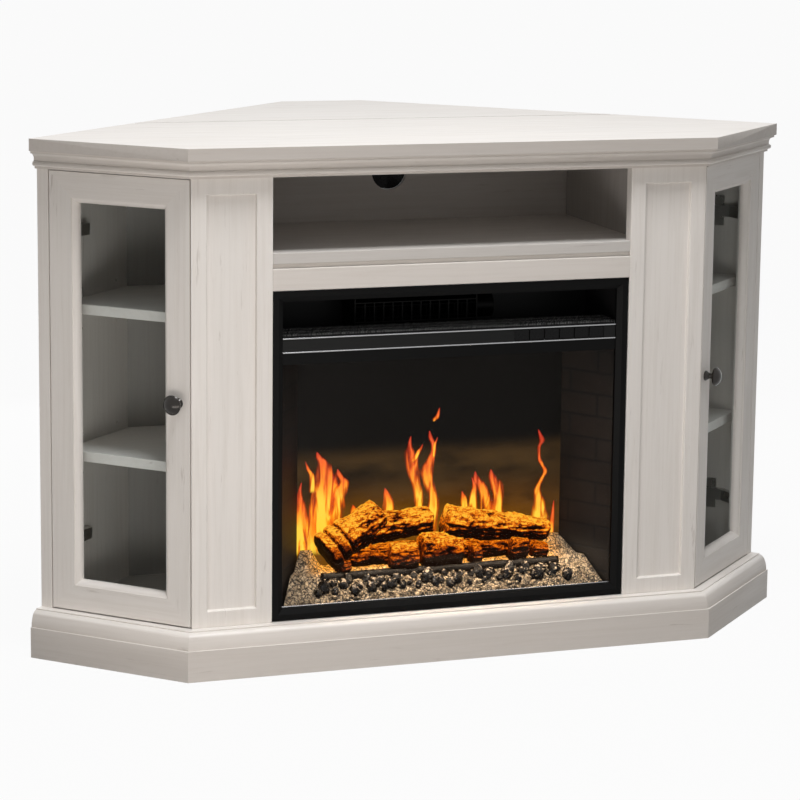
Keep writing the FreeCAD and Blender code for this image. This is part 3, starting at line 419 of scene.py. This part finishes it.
def ember_crust():
    """Cast gravel: tan and grey grains with dark cracks, lit orange behind the grate."""
    finish = Finish("ember_crust")
    place = finish.place()
    x, y, _ = finish.parts(place)
    bent = finish.node("VectorMath", {"operation": "ADD"}, {
        0: place, 1: finish.node("VectorMath", {"operation": "SCALE"}, {
            0: finish.node("TexNoise", {}, {"Vector": place, "Scale": 90.0, "Detail": 3.0}, "Color"),
            "Scale": 0.016})})
    cracks = finish.node("TexVoronoi", {"feature": "DISTANCE_TO_EDGE"}, {"Vector": bent, "Scale": 165.0})
    tint = finish.node("TexVoronoi", {}, {"Vector": bent, "Scale": 165.0}, "Color")
    shade = finish.parts(tint)[0]
    fine = finish.cloud(place, 460.0, 4.0, 0.65)
    tan, sand = (0.39, 0.285, 0.170), (0.76, 0.600, 0.400)
    shadow, crack = (0.16, 0.115, 0.075), (0.030, 0.022, 0.015)
    grain = finish.blend(shade, tan, sand)
    grain = finish.blend(fine.rising(0.35, 0.75), finish.blend(0.45, grain, shadow), grain)
    colour = finish.blend(cracks.rising(0.16, 0.03), grain, crack)
    lit = y.rising(-0.3020, -0.297) * abs(x).rising(0.225, 0.180)
    hot = lit * fine.rising(0.25, 0.65) * cracks.rising(0.02, 0.14)
    dark, ember = (0.0, 0.0, 0.0), (1.0, 0.40, 0.040)
    light = finish.blend(hot, dark, ember)
    return finish.surface(base_color=colour, roughness=0.66 + 0.25 * (fine - 0.5), emission_color=light,
                          emission_strength=1.7, normal=finish.bump(fine + 3.0 * cracks, 0.6, 0.0025))


def charcoal(name, ash_and_sheen_share, gloss):
    """Glossy broken coal with pale ash on its facets, heavier on up-facing ones, where it is partly a painted
    highlight of light from above.
    """
    finish = Finish(name)
    place = finish.place()
    ash = finish.cloud(place, 150.0, 4.0, 0.65)
    split = finish.cloud(finish.stretch(place, (1.0, 1.0, 2.5)), 240.0, 3.0)
    up = finish.parts(finish.node("NewGeometry", {}, {}, "Normal"))[2]
    # Partly painted highlight: the pale ash leans towards up-facing facets
    ash_and_sheen = (ash + 0.16 * up).rising(0.63, 0.74) * ash_and_sheen_share
    coal, pale_ash_and_sheen = (0.0060, 0.0046, 0.0036), (0.42, 0.335, 0.250)
    colour = finish.blend(ash_and_sheen, coal, pale_ash_and_sheen)
    return finish.surface(base_color=colour, roughness=0.17 + 0.5 * ash_and_sheen, specular_ior_level=gloss,
                          normal=finish.bump(split + ash, 0.55, 0.0022))


def burning_bark():
    """Moulded bark with light inside, painted as emission: black clefts, red-brown flanks, orange ridges and
    yellow tops, glowing most where the bark faces up and stands high.
    """
    finish = Finish("burning_bark")
    place = finish.place()
    relief = finish.node("Attribute", {"attribute_name": "relief"}, {}, "Fac")
    facing = finish.parts(finish.node("NewGeometry", {}, {}, "Normal"))
    grain = finish.cloud(finish.stretch(place, (0.42, 1.5, 1.5)), 240.0, 4.0, 0.62, 0.6)
    blotch = finish.cloud(place, 42.0, 3.0)
    folds = finish.cloud(finish.stretch(place, (0.7, 1.2, 1.2)), 130.0, 3.0, 0.6, 0.4)
    crinkle = abs(folds - 0.5).rising(0.0, 0.085)
    height = finish.parts(place)[2].rising(0.138, 0.200)
    ridge = (relief + 1.7 * (grain - 0.5)).rising(0.12, 0.80) * (0.34 + 0.66 * crinkle)
    # Painted light: up-facing and higher parts glow more and get a browner base colour, as if lit from above
    top = (facing[2] + blotch - 0.5).rising(-0.30, 0.70)
    glow_level = ridge * (0.05 + 1.42 * top) * (0.36 + 0.64 * height)
    char, lit_brown = (0.003, 0.002, 0.0015), (0.030, 0.012, 0.004)
    cold, red = (0.0040, 0.0009, 0.0002), (0.21, 0.026, 0.0015)
    orange, yellow = (0.82, 0.165, 0.002), (1.0, 0.50, 0.034)
    colour = finish.blend(glow_level.rising(0.05, 0.6), char, lit_brown)
    glow = finish.blend(glow_level.rising(0.03, 0.26), cold, red)
    glow = finish.blend(glow_level.rising(0.20, 0.48), glow, orange)
    glow = finish.blend(glow_level.rising(0.56, 1.00), glow, yellow)
    return finish.surface(base_color=colour, roughness=0.55 + 0.25 * (grain - 0.5), emission_color=glow,
                          emission_strength=1.12, specular_ior_level=0.03,
                          normal=finish.bump(grain + relief + crinkle, 0.6, 0.0025))


wood = {piece: washed_wood(*piece) for piece in wood_pieces}
finishes = {
    "bare": bare_wood(),
    "bronze": metal("dark_bronze", (0.010, 0.008, 0.0065), (0.020, 0.015, 0.011), 0.20, 0.35, 60.0),
    "nickel": metal("nickel_plate", (0.60, 0.59, 0.56), (0.50, 0.49, 0.47), 0.28, 1.0, 40.0),
    "zinc": metal("zinc_plate", (0.56, 0.57, 0.58), (0.42, 0.43, 0.45), 0.36, 1.0, 120.0),
    "black": metal("black_powder_coat", (0.0028, 0.0028, 0.0028), (0.0045, 0.0045, 0.0045), 0.40, 0.0, 900.0,
                   relief=0.12, specular=0.06),
    "deck": dotted_sheet(),
    "bar": plastic("bar_plastic", (0.0075, 0.0077, 0.0077), (0.0115, 0.0118, 0.0118), 0.36, 700.0),
    "key": plastic("key_plastic", (0.0035, 0.0035, 0.0037), (0.0060, 0.0060, 0.0062), 0.28, 500.0),
    "bright": metal("bright_trim", (0.40, 0.40, 0.405), (0.30, 0.30, 0.305), 0.26, 1.0, 30.0,
                    brushed=(0.2, 6.0, 6.0)),
    "fins": metal("dark_fins", (0.0030, 0.0030, 0.0031), (0.0015, 0.0015, 0.0016), 0.60, 0.0, 80.0,
                  specular=0.02),
    "casing": brick_lined_steel(),
    "screen": glowing_screen(),
    "door_glass": pane("door_glass", (0.930, 0.948, 0.950), 1.022, 0.01),
    "fire_glass": pane("fire_glass", (0.95, 0.945, 0.94), 1.06, 0.015),
    "crust": ember_crust(),
    "charcoal": charcoal("charcoal", 0.80, 0.20),
    "grate": charcoal("grate_black", 0.06, 0.12),
    "bark": burning_bark(),
    "flame": flame_light(),
}
node_finishes = {
    "bare": ("support_blocks",),
    "bronze": ("door_knob_left", "door_knob_right"),
    "nickel": ("shelf_pins", "hinge_cups_left", "hinge_cups_right", "hinge_arms"),
    "zinc": ("leaf_hinge_plates", "leaf_hinge_flaps", "leaf_prop", "prop_brackets"),
    "black": ("insert_bezel", "blower_housing"),
    "deck": ("warm_air_deck",),
    "bar": ("control_bar", "rotor_motor", "cord_gland", "lamp_board"),
    "key": tuple("control_key_" + str(number) for number in range(1, 7)),
    "bright": ("bright_strips", "flame_rotor"),
    "fins": ("blower_wheel", "heater_element"),
    "casing": ("insert_casing",),
    "screen": ("flame_screen",),
    "door_glass": ("door_glass_left", "door_glass_right"),
    "fire_glass": ("insert_glass",),
}


def dress(node, material):
    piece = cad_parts[node]
    piece.data.materials.clear()
    piece.data.materials.append(material)
    return piece


def ease_edges(piece, width):
    """Takes the sharpness off a board's corners, as sanding does."""
    weld = piece.modifiers.new("weld", "WELD")
    weld.merge_threshold = weld_reach
    bevel = piece.modifiers.new("eased_edges", "BEVEL")
    bevel.width = width
    bevel.segments = 2
    bevel.limit_method = "ANGLE"
    bevel.angle_limit = sanded_angle


def dress_frame():
    for finish, nodes in wood_pieces.items():
        for node in nodes:
            piece = dress(node, wood[finish])
            if node not in flush_joints:
                ease_edges(piece, edge_rounds[finish[1]])
    for name, nodes in node_finishes.items():
        for node in nodes:
            dress(node, finishes[name])


# Mesh helpers
def shaped(name, mesh, material, body="cabinet"):
    piece = bpy.data.objects.new(name, mesh)
    bpy.context.scene.collection.objects.link(piece)
    mesh.materials.append(material)
    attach(piece, body)
    return piece


def smooth(mesh):
    for face in mesh.polygons:
        face.use_smooth = True
    return mesh


def mesh_from(name, points, faces):
    mesh = bpy.data.meshes.new(name)
    mesh.from_pydata(points, [], faces)
    mesh.update()
    return mesh


def grid_faces(rows, columns, closed):
    """Quads of a grid of points listed row by row; closed joins the last column to the first."""
    faces = []
    for row in range(rows - 1):
        for column in range(columns if closed else columns - 1):
            after = (column + 1) % columns
            faces.append((row * columns + column, row * columns + after,
                          (row + 1) * columns + after, (row + 1) * columns + column))
    return faces


# Ember bed
def bed_top(across, back):
    """Height of the cast bed over the hearth; across runs from -1 to 1, back from 0 to 1."""
    x = across * (bed_half - bed_taper * back)
    slope = min(1.0, back * bed_depth / bed_shelf_depth)
    shelf = bed_front_rise + (bed_shelf_rise - bed_front_rise) * slope
    wing = bed_front_rise + (bed_wing_rise - bed_front_rise) * back
    side = max(0.0, min(1.0, (abs(x) - (bed_half - bed_wing)) / bed_wing_blend + 0.5))
    return shelf if wing < shelf else shelf + (wing - shelf) * side


def bed_point(across, back, lift=0.0):
    x = across * (bed_half - bed_taper * back)
    return Vector((x, bed_front_y + back * bed_depth, hearth + bed_top(across, back) + lift))


def build_bed():
    rows, columns = bed_rows, bed_columns
    points = []
    for row in range(rows):
        for column in range(columns):
            across = 2 * column / (columns - 1) - 1
            back = row / (rows - 1)
            point = bed_point(across, back)
            inside = min(1.0, fade_side * (1 - abs(across)), fade_end * (1 - back) + fade_least,
                         fade_end * back + fade_least)
            grit = noise.fractal(point * 130, 0.9, 2.1, 4)
            lumps = noise.noise(point * 55)
            point.z += inside * (bed_grit * grit + bed_lumps * lumps) - bed_sink
            points.append(point)
    faces = grid_faces(rows, columns, False)
    rim = list(range(columns))
    rim += [row * columns + columns - 1 for row in range(1, rows)]
    rim += [(rows - 1) * columns + column for column in range(columns - 2, -1, -1)]
    rim += [row * columns for row in range(rows - 2, 0, -1)]
    start = len(points)
    points += [Vector((points[i].x, points[i].y, hearth)) for i in rim]
    for k, i in enumerate(rim):
        after = (k + 1) % len(rim)
        faces.append((rim[after], i, start + k, start + after))
    faces.append(tuple(range(start, len(points))))
    mesh = smooth(mesh_from("ember_crust", points, faces))
    bed = shaped("ember_crust", mesh, finishes["crust"])
    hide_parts("ember_bed")


def lump(shape, centre, radius, squash, seed):
    """Adds one broken stone or coal to a bmesh."""
    made = bmesh.ops.create_icosphere(shape, subdivisions=2, radius=1.0)
    turn = Matrix.Rotation(seed * golden_angle, 3, Vector((0.3, 0.5, 0.8)))
    for vertex in made["verts"]:
        rough = noise.noise(vertex.co * 1.7 + Vector((seed * 3.1, seed, 0)))
        flake = noise.cell(vertex.co * 2.3 + Vector((0, seed * 1.7, 0)))
        point = turn @ (vertex.co * (1 + stone_rough * rough + stone_flake * flake))
        vertex.co = centre + Vector((point.x, point.y, point.z * squash)) * radius


def build_coals():
    """A row of charcoal in front of the grate, with broken gravel scattered down to the sill."""
    chance = random.Random(4)
    coals, stones = bmesh.new(), bmesh.new()
    for number in range(coal_count):
        across = -coal_spread + 2 * coal_spread * number / (coal_count - 1)
        across += chance.uniform(-coal_stray_across, coal_stray_across)
        back = coal_back + coal_back_step * (number % coal_back_steps) / (coal_back_steps - 1)
        back += chance.uniform(-coal_stray_back, coal_stray_back)
        radius = chance.uniform(*coal_radii)
        place = bed_point(across, back, coal_lift * radius)
        lump(coals, place, radius, chance.uniform(*coal_squash), number + 1)
    for number in range(gravel_count):
        across = chance.uniform(-gravel_spread, gravel_spread)
        back = chance.uniform(*(gravel_front_back if abs(across) < gravel_front else gravel_wing_back))
        radius = chance.uniform(*gravel_radii)
        place = bed_point(across, back, gravel_lift * radius)
        lump(stones, place, radius, gravel_squash, number + gravel_seed)
    for name, shape, finish in (("charcoal_row", coals, "charcoal"), ("loose_gravel", stones, "crust")):
        mesh = bpy.data.meshes.new(name)
        shape.to_mesh(mesh)
        shape.free()
        shaped(name, mesh, finishes[finish])


def build_grate():
    """The black bar that holds the logs back."""
    rows, columns = grate_rows, grate_columns
    points = []
    for row in range(rows):
        share = row / (rows - 1)
        x = (2 * share - 1) * grate_half
        sag = grate_sag * noise.noise(Vector((x * 40, 0, 0)))
        for column in range(columns):
            angle = 2 * math.pi * column / columns
            rough = 1 + grate_rough * noise.noise(Vector((x * 160, math.cos(angle) * 2, math.sin(angle) * 2)))
            y = (bed_front_y + bed_shelf_depth - grate_set_forward * grate_radius
                 + grate_radius * rough * math.cos(angle))
            z = hearth + bed_shelf_rise + sag + grate_height * (rough * math.sin(angle) - grate_sink)
            points.append((x, y, z))
    faces = grid_faces(rows, columns, True)
    faces.append(tuple(range(columns))[::-1])
    faces.append(tuple(range((rows - 1) * columns, rows * columns)))
    shaped("grate_bar", smooth(mesh_from("grate_bar", points, faces)), finishes["grate"])


# Each log: start and end as shares of half the bed's width, its depth and the pile's height, then the
# two radii as shares of the log radius
log_radius, pile_height = 0.027, 0.100
log_row, log_least_rows, log_columns = 0.0018, 18, 72
log_shares = (
    ((-0.540, 0.78, 0.165, 0.66), (0.640, 0.78, 0.15, 0.60)),
    ((-0.710, 0.47, 0.30, 1.22), (-0.356, 0.64, 0.87, 0.87)),
    ((0.039, 0.57, 0.65, 1.0), (0.698, 0.62, 0.41, 0.62)),
    ((-0.420, 0.73, 0.60, 0.90), (-0.032, 0.71, 0.67, 0.82)),
    ((-0.118, 0.50, 0.25, 0.98), (0.135, 0.50, 0.23, 0.92)),
    ((-0.311, 0.49, 0.17, 0.80), (-0.142, 0.47, 0.15, 0.72)),
    ((0.194, 0.48, 0.11, 0.60), (0.252, 0.51, 0.10, 0.56)),
    ((0.445, 0.52, 0.16, 0.78), (0.553, 0.52, 0.14, 0.72)),
    ((0.589, 0.54, 0.09, 0.50), (0.688, 0.57, 0.07, 0.47)),
    ((-0.629, 0.37, 0.10, 0.50), (-0.585, 0.47, 0.10, 0.50)),
)
# Bark relief as shares of the radius, and the logs' narrowed, ragged ends
bark_ridges, bark_knots, bark_chips, bark_splits = 0.13, 0.17, 0.055, 0.20
bark_seat = 0.94
closed_share, closing_slope, ragged_share = 0.78, 8, 0.10
# One log is hewn smooth over its first part, with saw cuts across it
hewn_log = 1
hewn_share, hewn_fade, hewn_smoothing, hewn_rise = 0.42, 0.06, 0.75, 0.05
saw_cuts, saw_depth, saw_width = (0.16, 0.33), 0.20, 0.018


def log_end(across, back, up, radius):
    place = Vector((across * bed_half, bed_front_y + back * bed_depth,
                    hearth + bed_shelf_rise + up * pile_height))
    return place, radius * log_radius


def bark_height(number, round_place, run, share):
    """Relief of the bark as a share of the radius: ridges along the log, knots, chips and splits."""
    ridges = 1 - 2.2 * abs(noise.noise(round_place * 3.4 + run * 30))
    knots = noise.noise(round_place * 1.1 + run * 34)
    chips = noise.fractal(round_place * 7 + run * 210, 0.9, 2.2, 3)
    splits = noise.noise(round_place * 0.9 + run * 75)
    height = bark_ridges * ridges + bark_knots * knots + bark_chips * chips
    height -= bark_splits * max(0.0, splits - 0.28)
    if number == hewn_log:
        hewn = max(0.0, min(1.0, (hewn_share - share) / hewn_fade))
        height = height * (1 - hewn_smoothing * hewn) + hewn_rise * hewn
        for cut in saw_cuts:
            height -= saw_depth * math.exp(-((share - cut) / saw_width) ** 2)
    return height


def log_mesh(number, start_share, end_share):
    """A tube of bark with broken ends; its relief is kept for the finish."""
    (start, first_radius), (end, last_radius) = log_end(*start_share), log_end(*end_share)
    axis = end - start
    rows, columns = max(log_least_rows, int(axis.length / log_row)), log_columns
    along = axis.normalized()
    side = along.cross(Vector((0, 1, 0))).normalized()
    up = side.cross(along)
    seed = Vector((number * 7.3, number * 3.7, number))
    points, reliefs = [], []
    for row in range(rows):
        share = row / (rows - 1)
        closing = min(1.0, closed_share + closing_slope * min(share, 1 - share))
        radius = first_radius + (last_radius - first_radius) * share
        for column in range(columns):
            angle = 2 * math.pi * column / columns
            out = side * math.cos(angle) + up * math.sin(angle)
            height = bark_height(number, out + seed, along * (share * axis.length), share)
            ragged = ragged_share * noise.noise(out * 2.2 + seed) * (2 * share - 1) ** 5
            points.append(start + axis * share + along * (ragged * radius)
                          + out * (radius * closing * (bark_seat + height)))
            reliefs.append(max(0.0, min(1.0, 0.5 + 1.9 * height)))
    faces = grid_faces(rows, columns, True)
    for row, centre, turn in ((0, start, -1), (rows - 1, end, 1)):
        ring = [row * columns + column for column in range(columns)]
        middle = len(points)
        points.append(centre)
        reliefs.append(0.50)
        for k in range(columns):
            pair = (ring[k], ring[(k + 1) % columns])
            faces.append((middle, *pair[::turn]))
    return points, reliefs, faces


def build_logs():
    points, reliefs, faces = [], [], []
    for number, (start, end) in enumerate(log_shares):
        own_points, own_reliefs, own_faces = log_mesh(number, start, end)
        shift = len(points)
        points += own_points
        reliefs += own_reliefs
        faces += [tuple(i + shift for i in face) for face in own_faces]
    mesh = smooth(mesh_from("burning_logs", points, faces))
    mesh.attributes.new("relief", "FLOAT", "POINT").data.foreach_set("value", reliefs)
    pile = shaped("burning_logs", mesh, finishes["bark"])
    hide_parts("log_pile")


# Flames: stations from root to tip, each across, up and half width
flames = {
    "left_body": ((-0.1900, 0.148, 0.0400), (-0.1880, 0.178, 0.0390), (-0.1810, 0.208, 0.0330),
                  (-0.1730, 0.236, 0.0250), (-0.1670, 0.262, 0.0130), (-0.1640, 0.280, 0.0008)),
    "left_main": ((-0.1756, 0.166, 0.0237), (-0.1756, 0.1929, 0.0250), (-0.1779, 0.2268, 0.0245),
                  (-0.174, 0.2528, 0.0222), (-0.1735, 0.272, 0.0180), (-0.1793, 0.297, 0.0099),
                  (-0.187, 0.3075, 0.0057), (-0.1904, 0.3163, 0.0008)),
    "left_low": ((-0.2192, 0.150, 0.0160), (-0.2192, 0.1771, 0.0159), (-0.2156, 0.2068, 0.0137),
                 (-0.2138, 0.2291, 0.0091), (-0.2188, 0.2499, 0.0045), (-0.2155, 0.2684, 0.0008)),
    "left_lobe": ((-0.1585, 0.180, 0.0107), (-0.1575, 0.2292, 0.0099), (-0.152, 0.2513, 0.0107),
                  (-0.1456, 0.2659, 0.0069), (-0.1533, 0.2776, 0.0045), (-0.1564, 0.287, 0.0008)),
    "left_wisp": ((-0.1989, 0.2500, 0.0045), (-0.1982, 0.2777, 0.0045), (-0.2047, 0.2892, 0.003),
                  (-0.2096, 0.3025, 0.0006)),
    "left_ember": ((-0.1279, 0.200, 0.0061), (-0.1279, 0.2122, 0.0061), (-0.1292, 0.2217, 0.0038),
                   (-0.1308, 0.2274, 0.0006)),
    "small_red": ((-0.0702, 0.200, 0.0101), (-0.0702, 0.2159, 0.0101), (-0.0707, 0.2311, 0.0077),
                  (-0.0743, 0.2426, 0.0046), (-0.0775, 0.2511, 0.0008)),
    "centre_left": ((-0.0196, 0.195, 0.0050), (-0.0218, 0.2317, 0.0078), (-0.026, 0.2547, 0.0078),
                    (-0.0318, 0.278, 0.0100), (-0.0351, 0.3034, 0.0101), (-0.0376, 0.3167, 0.0047),
                    (-0.0351, 0.3331, 0.0006)),
    "centre_horn": ((-0.0320, 0.2900, 0.0040), (-0.0228, 0.3064, 0.0047), (-0.0182, 0.3126, 0.0031),
                    (-0.0152, 0.3192, 0.0006)),
    "centre_right": ((0.0000, 0.165, 0.0080), (-0.002, 0.1776, 0.0115), (-0.001, 0.1998, 0.0130),
                     (0.004, 0.2263, 0.0094), (-0.0026, 0.2532, 0.0086), (-0.0070, 0.278, 0.0106),
                     (0.0026, 0.3031, 0.0055), (0.0028, 0.3181, 0.0039), (-0.0017, 0.3297, 0.0035),
                     (-0.0038, 0.3403, 0.0006)),
    "centre_fork": ((0.0034, 0.2960, 0.0028), (0.0051, 0.3161, 0.0027), (0.0074, 0.3224, 0.002),
                    (0.0096, 0.3291, 0.0006)),
    "spark": ((0.003, 0.355, 0.0006), (0.0061, 0.3601, 0.0047), (0.0099, 0.3666, 0.0031),
              (0.0125, 0.377, 0.0006)),
    "right_main": ((0.0985, 0.185, 0.0150), (0.0985, 0.203, 0.0150), (0.0942, 0.2243, 0.0104),
                   (0.086, 0.2419, 0.0090), (0.0778, 0.2558, 0.0068), (0.0745, 0.2693, 0.0008)),
    "right_tall": ((0.1104, 0.185, 0.0130), (0.1104, 0.2041, 0.0130), (0.113, 0.2268, 0.0108),
                   (0.1107, 0.2461, 0.0105), (0.1043, 0.2599, 0.0068), (0.1014, 0.2710, 0.0008)),
    "right_low": ((0.0588, 0.195, 0.0063), (0.0558, 0.2248, 0.0047), (0.0525, 0.2383, 0.0008)),
    "right_mid": ((0.0727, 0.195, 0.0079), (0.0716, 0.2295, 0.0063), (0.0737, 0.2446, 0.004),
                  (0.0687, 0.2601, 0.0008)),
    "thin": ((0.1868, 0.170, 0.0137), (0.1868, 0.1856, 0.0137), (0.1867, 0.2106, 0.0097),
             (0.1818, 0.2321, 0.0056), (0.1883, 0.2489, 0.0036), (0.1950, 0.2636, 0.0032),
             (0.1848, 0.2828, 0.0032), (0.1836, 0.302, 0.0028), (0.1885, 0.3151, 0.0044),
             (0.1818, 0.3323, 0.0006)),
    "edge": ((0.209, 0.145, 0.004), (0.209, 0.1609, 0.004), (0.2093, 0.186, 0.0036),
             (0.2112, 0.2129, 0.0006)),
}


def between(stations, share):
    """A point on a smooth curve through the stations."""
    place = share * (len(stations) - 1)
    k = min(int(place), len(stations) - 2)
    t = place - k
    before, a = Vector(stations[max(k - 1, 0)]), Vector(stations[k])
    b, after = Vector(stations[k + 1]), Vector(stations[min(k + 2, len(stations) - 1)])
    leave, arrive = (b - before) / 2, (after - a) / 2
    step = b - a
    return a + leave * t + (3 * step - 2 * leave - arrive) * t ** 2 + (leave + arrive - 2 * step) * t ** 3


def build_flames():
    """Thin ribbons of light just in front of the screen, each with a map of its width and height."""
    columns = flame_columns
    points, faces, spots = [], [], []
    for layer, stations in enumerate(flames.values()):
        rows = flame_rows * len(stations)
        shift = len(points)
        depth = flame_plane - flame_layer_gap * layer
        for row in range(rows):
            share = row / (rows - 1)
            x, z, half = between(stations, share)
            for column in range(columns):
                across = column / (columns - 1)
                points.append((x + flame_spread * max(half, flame_least_half) * (2 * across - 1), depth, z))
                spots.append((across, share))
        faces += [tuple(i + shift for i in face) for face in grid_faces(rows, columns, False)]
    mesh = mesh_from("flames", points, faces)
    ribbon_map = mesh.uv_layers.new(name="flame")
    for loop in mesh.loops:
        ribbon_map.data[loop.index].uv = spots[loop.vertex_index]
    shaped("flames", mesh, finishes["flame"])


# Cable hole
def build_hole_cover():
    """A black rubber disc behind the cable hole, slit into petals so that a plug can pass."""
    back_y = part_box("media_back")[1].y
    centre = Vector((0, back_y - cover_inset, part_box("media_shelf")[1].z + cable_hole_lift))
    wedge = 2 * math.pi / cover_petals
    points, faces = [], []
    for petal in range(cover_petals):
        bend = 1 - petal_spread + petal_spread * math.cos(3 * petal)
        for side in (0.0, cover_thickness):
            shift = len(points)
            for ring in range(cover_rings + 1):
                share = cover_eye + (1 - cover_eye) * ring / cover_rings
                radius = cable_hole_radius * share
                dish = cover_dish * math.cos(math.pi / 2 * share) * bend
                for step in range(cover_steps + 1):
                    angle = wedge * (petal + (1 + 2 * petal_overlap) * step / cover_steps - petal_overlap)
                    points.append(centre + Vector((radius * math.cos(angle), side - dish,
                                                   radius * math.sin(angle))))
            quads = grid_faces(cover_rings + 1, cover_steps + 1, False)
            own = [tuple(i + shift for i in face) for face in quads]
            faces += own if side else [face[::-1] for face in own]
    mesh = smooth(mesh_from("cable_hole_cover", points, faces))
    shaped("cable_hole_cover", mesh, finishes["key"])


# Studio
def white_to_eye(finish, strength):
    """The strength where the camera looks, straight, in a gloss or through glass, and 0 elsewhere."""
    path = finish.node("LightPath", {}, {})
    eyes = [Term(finish, path.socket.node.outputs[name])
            for name in ("Is Camera Ray", "Is Glossy Ray", "Is Transmission Ray")]
    seen = eyes[0].math("MAXIMUM", eyes[0].math("MAXIMUM", eyes[0], eyes[1]), eyes[2])
    return seen * strength


def build_floor():
    half = floor_size / 2
    corners = [(-half, -half, 0), (half, -half, 0), (half, half, 0), (-half, half, 0)]
    floor = bpy.data.objects.new("floor", mesh_from("floor", corners, [(0, 1, 2, 3)]))
    bpy.context.scene.collection.objects.link(floor)
    floor.location.z = -floor_drop
    finish = Finish("studio_floor")
    tone = finish.cloud(finish.place(), 3.0, 2.0)
    grey, pale = (0.42, 0.415, 0.41), (0.46, 0.455, 0.45)
    colour = finish.blend(tone, grey, pale)
    matte = finish.node("BsdfDiffuse", {}, {"Color": colour})
    white = finish.node("Emission", {}, {"Color": plain_white, "Strength": 1.0})
    floor.data.materials.append(finish.close(
        finish.node("MixShader", {}, {0: white_to_eye(finish, floor_whiteness), 1: matte, 2: white})))


def build_sky():
    """Brighter overhead than at eye level, and plain white where the camera, a gloss or glass shows it."""
    world = bpy.data.worlds.new("studio")
    sky = Finish("studio", world)
    height = sky.parts(sky.node("TexCoord", {}, {}, "Generated"))[2]
    dim = sky_low + (sky_high - sky_low) * height.rising(0.10, 0.85)
    light = sky.node("Background", {}, {"Color": sky_tint, "Strength": dim})
    white = sky.node("Background", {}, {"Color": plain_white, "Strength": 1.0})
    mixed = sky.node("MixShader", {}, {0: white_to_eye(sky, sky_whiteness), 1: light, 2: white})
    sky.close(mixed, "OutputWorld")
    bpy.context.scene.world = world


def lamp(name, place, target, size, power, colour):
    light = bpy.data.lights.new(name, "AREA")
    light.shape = "RECTANGLE"
    light.size, light.size_y = size
    light.energy = power
    light.color = colour
    holder = bpy.data.objects.new(name, light)
    holder.location = place
    holder.visible_camera = False
    holder.rotation_euler = (Vector(target) - Vector(place)).to_track_quat("-Z", "Y").to_euler()
    bpy.context.scene.collection.objects.link(holder)


def build_camera():
    camera = bpy.data.cameras.new("camera")
    camera.sensor_fit = "HORIZONTAL"
    camera.lens = focal_share * camera.sensor_width
    camera.shift_x, camera.shift_y = camera_shift
    holder = bpy.data.objects.new("camera", camera)
    turn = Matrix.Rotation(-camera_yaw, 4, "Z") @ Matrix.Rotation(math.pi / 2 - camera_pitch, 4, "X")
    holder.matrix_world = Matrix.Translation(camera_place) @ turn @ Matrix.Rotation(camera_roll, 4, "Z")
    bpy.context.scene.collection.objects.link(holder)
    bpy.context.scene.camera = holder


dress_frame()
build_bed()
build_coals()
build_grate()
build_logs()
build_flames()
build_hole_cover()
build_floor()
build_sky()
for name, values in lamps.items():
    lamp(name, *values)
build_camera()
bpy.context.scene.view_settings.view_transform = "Standard"
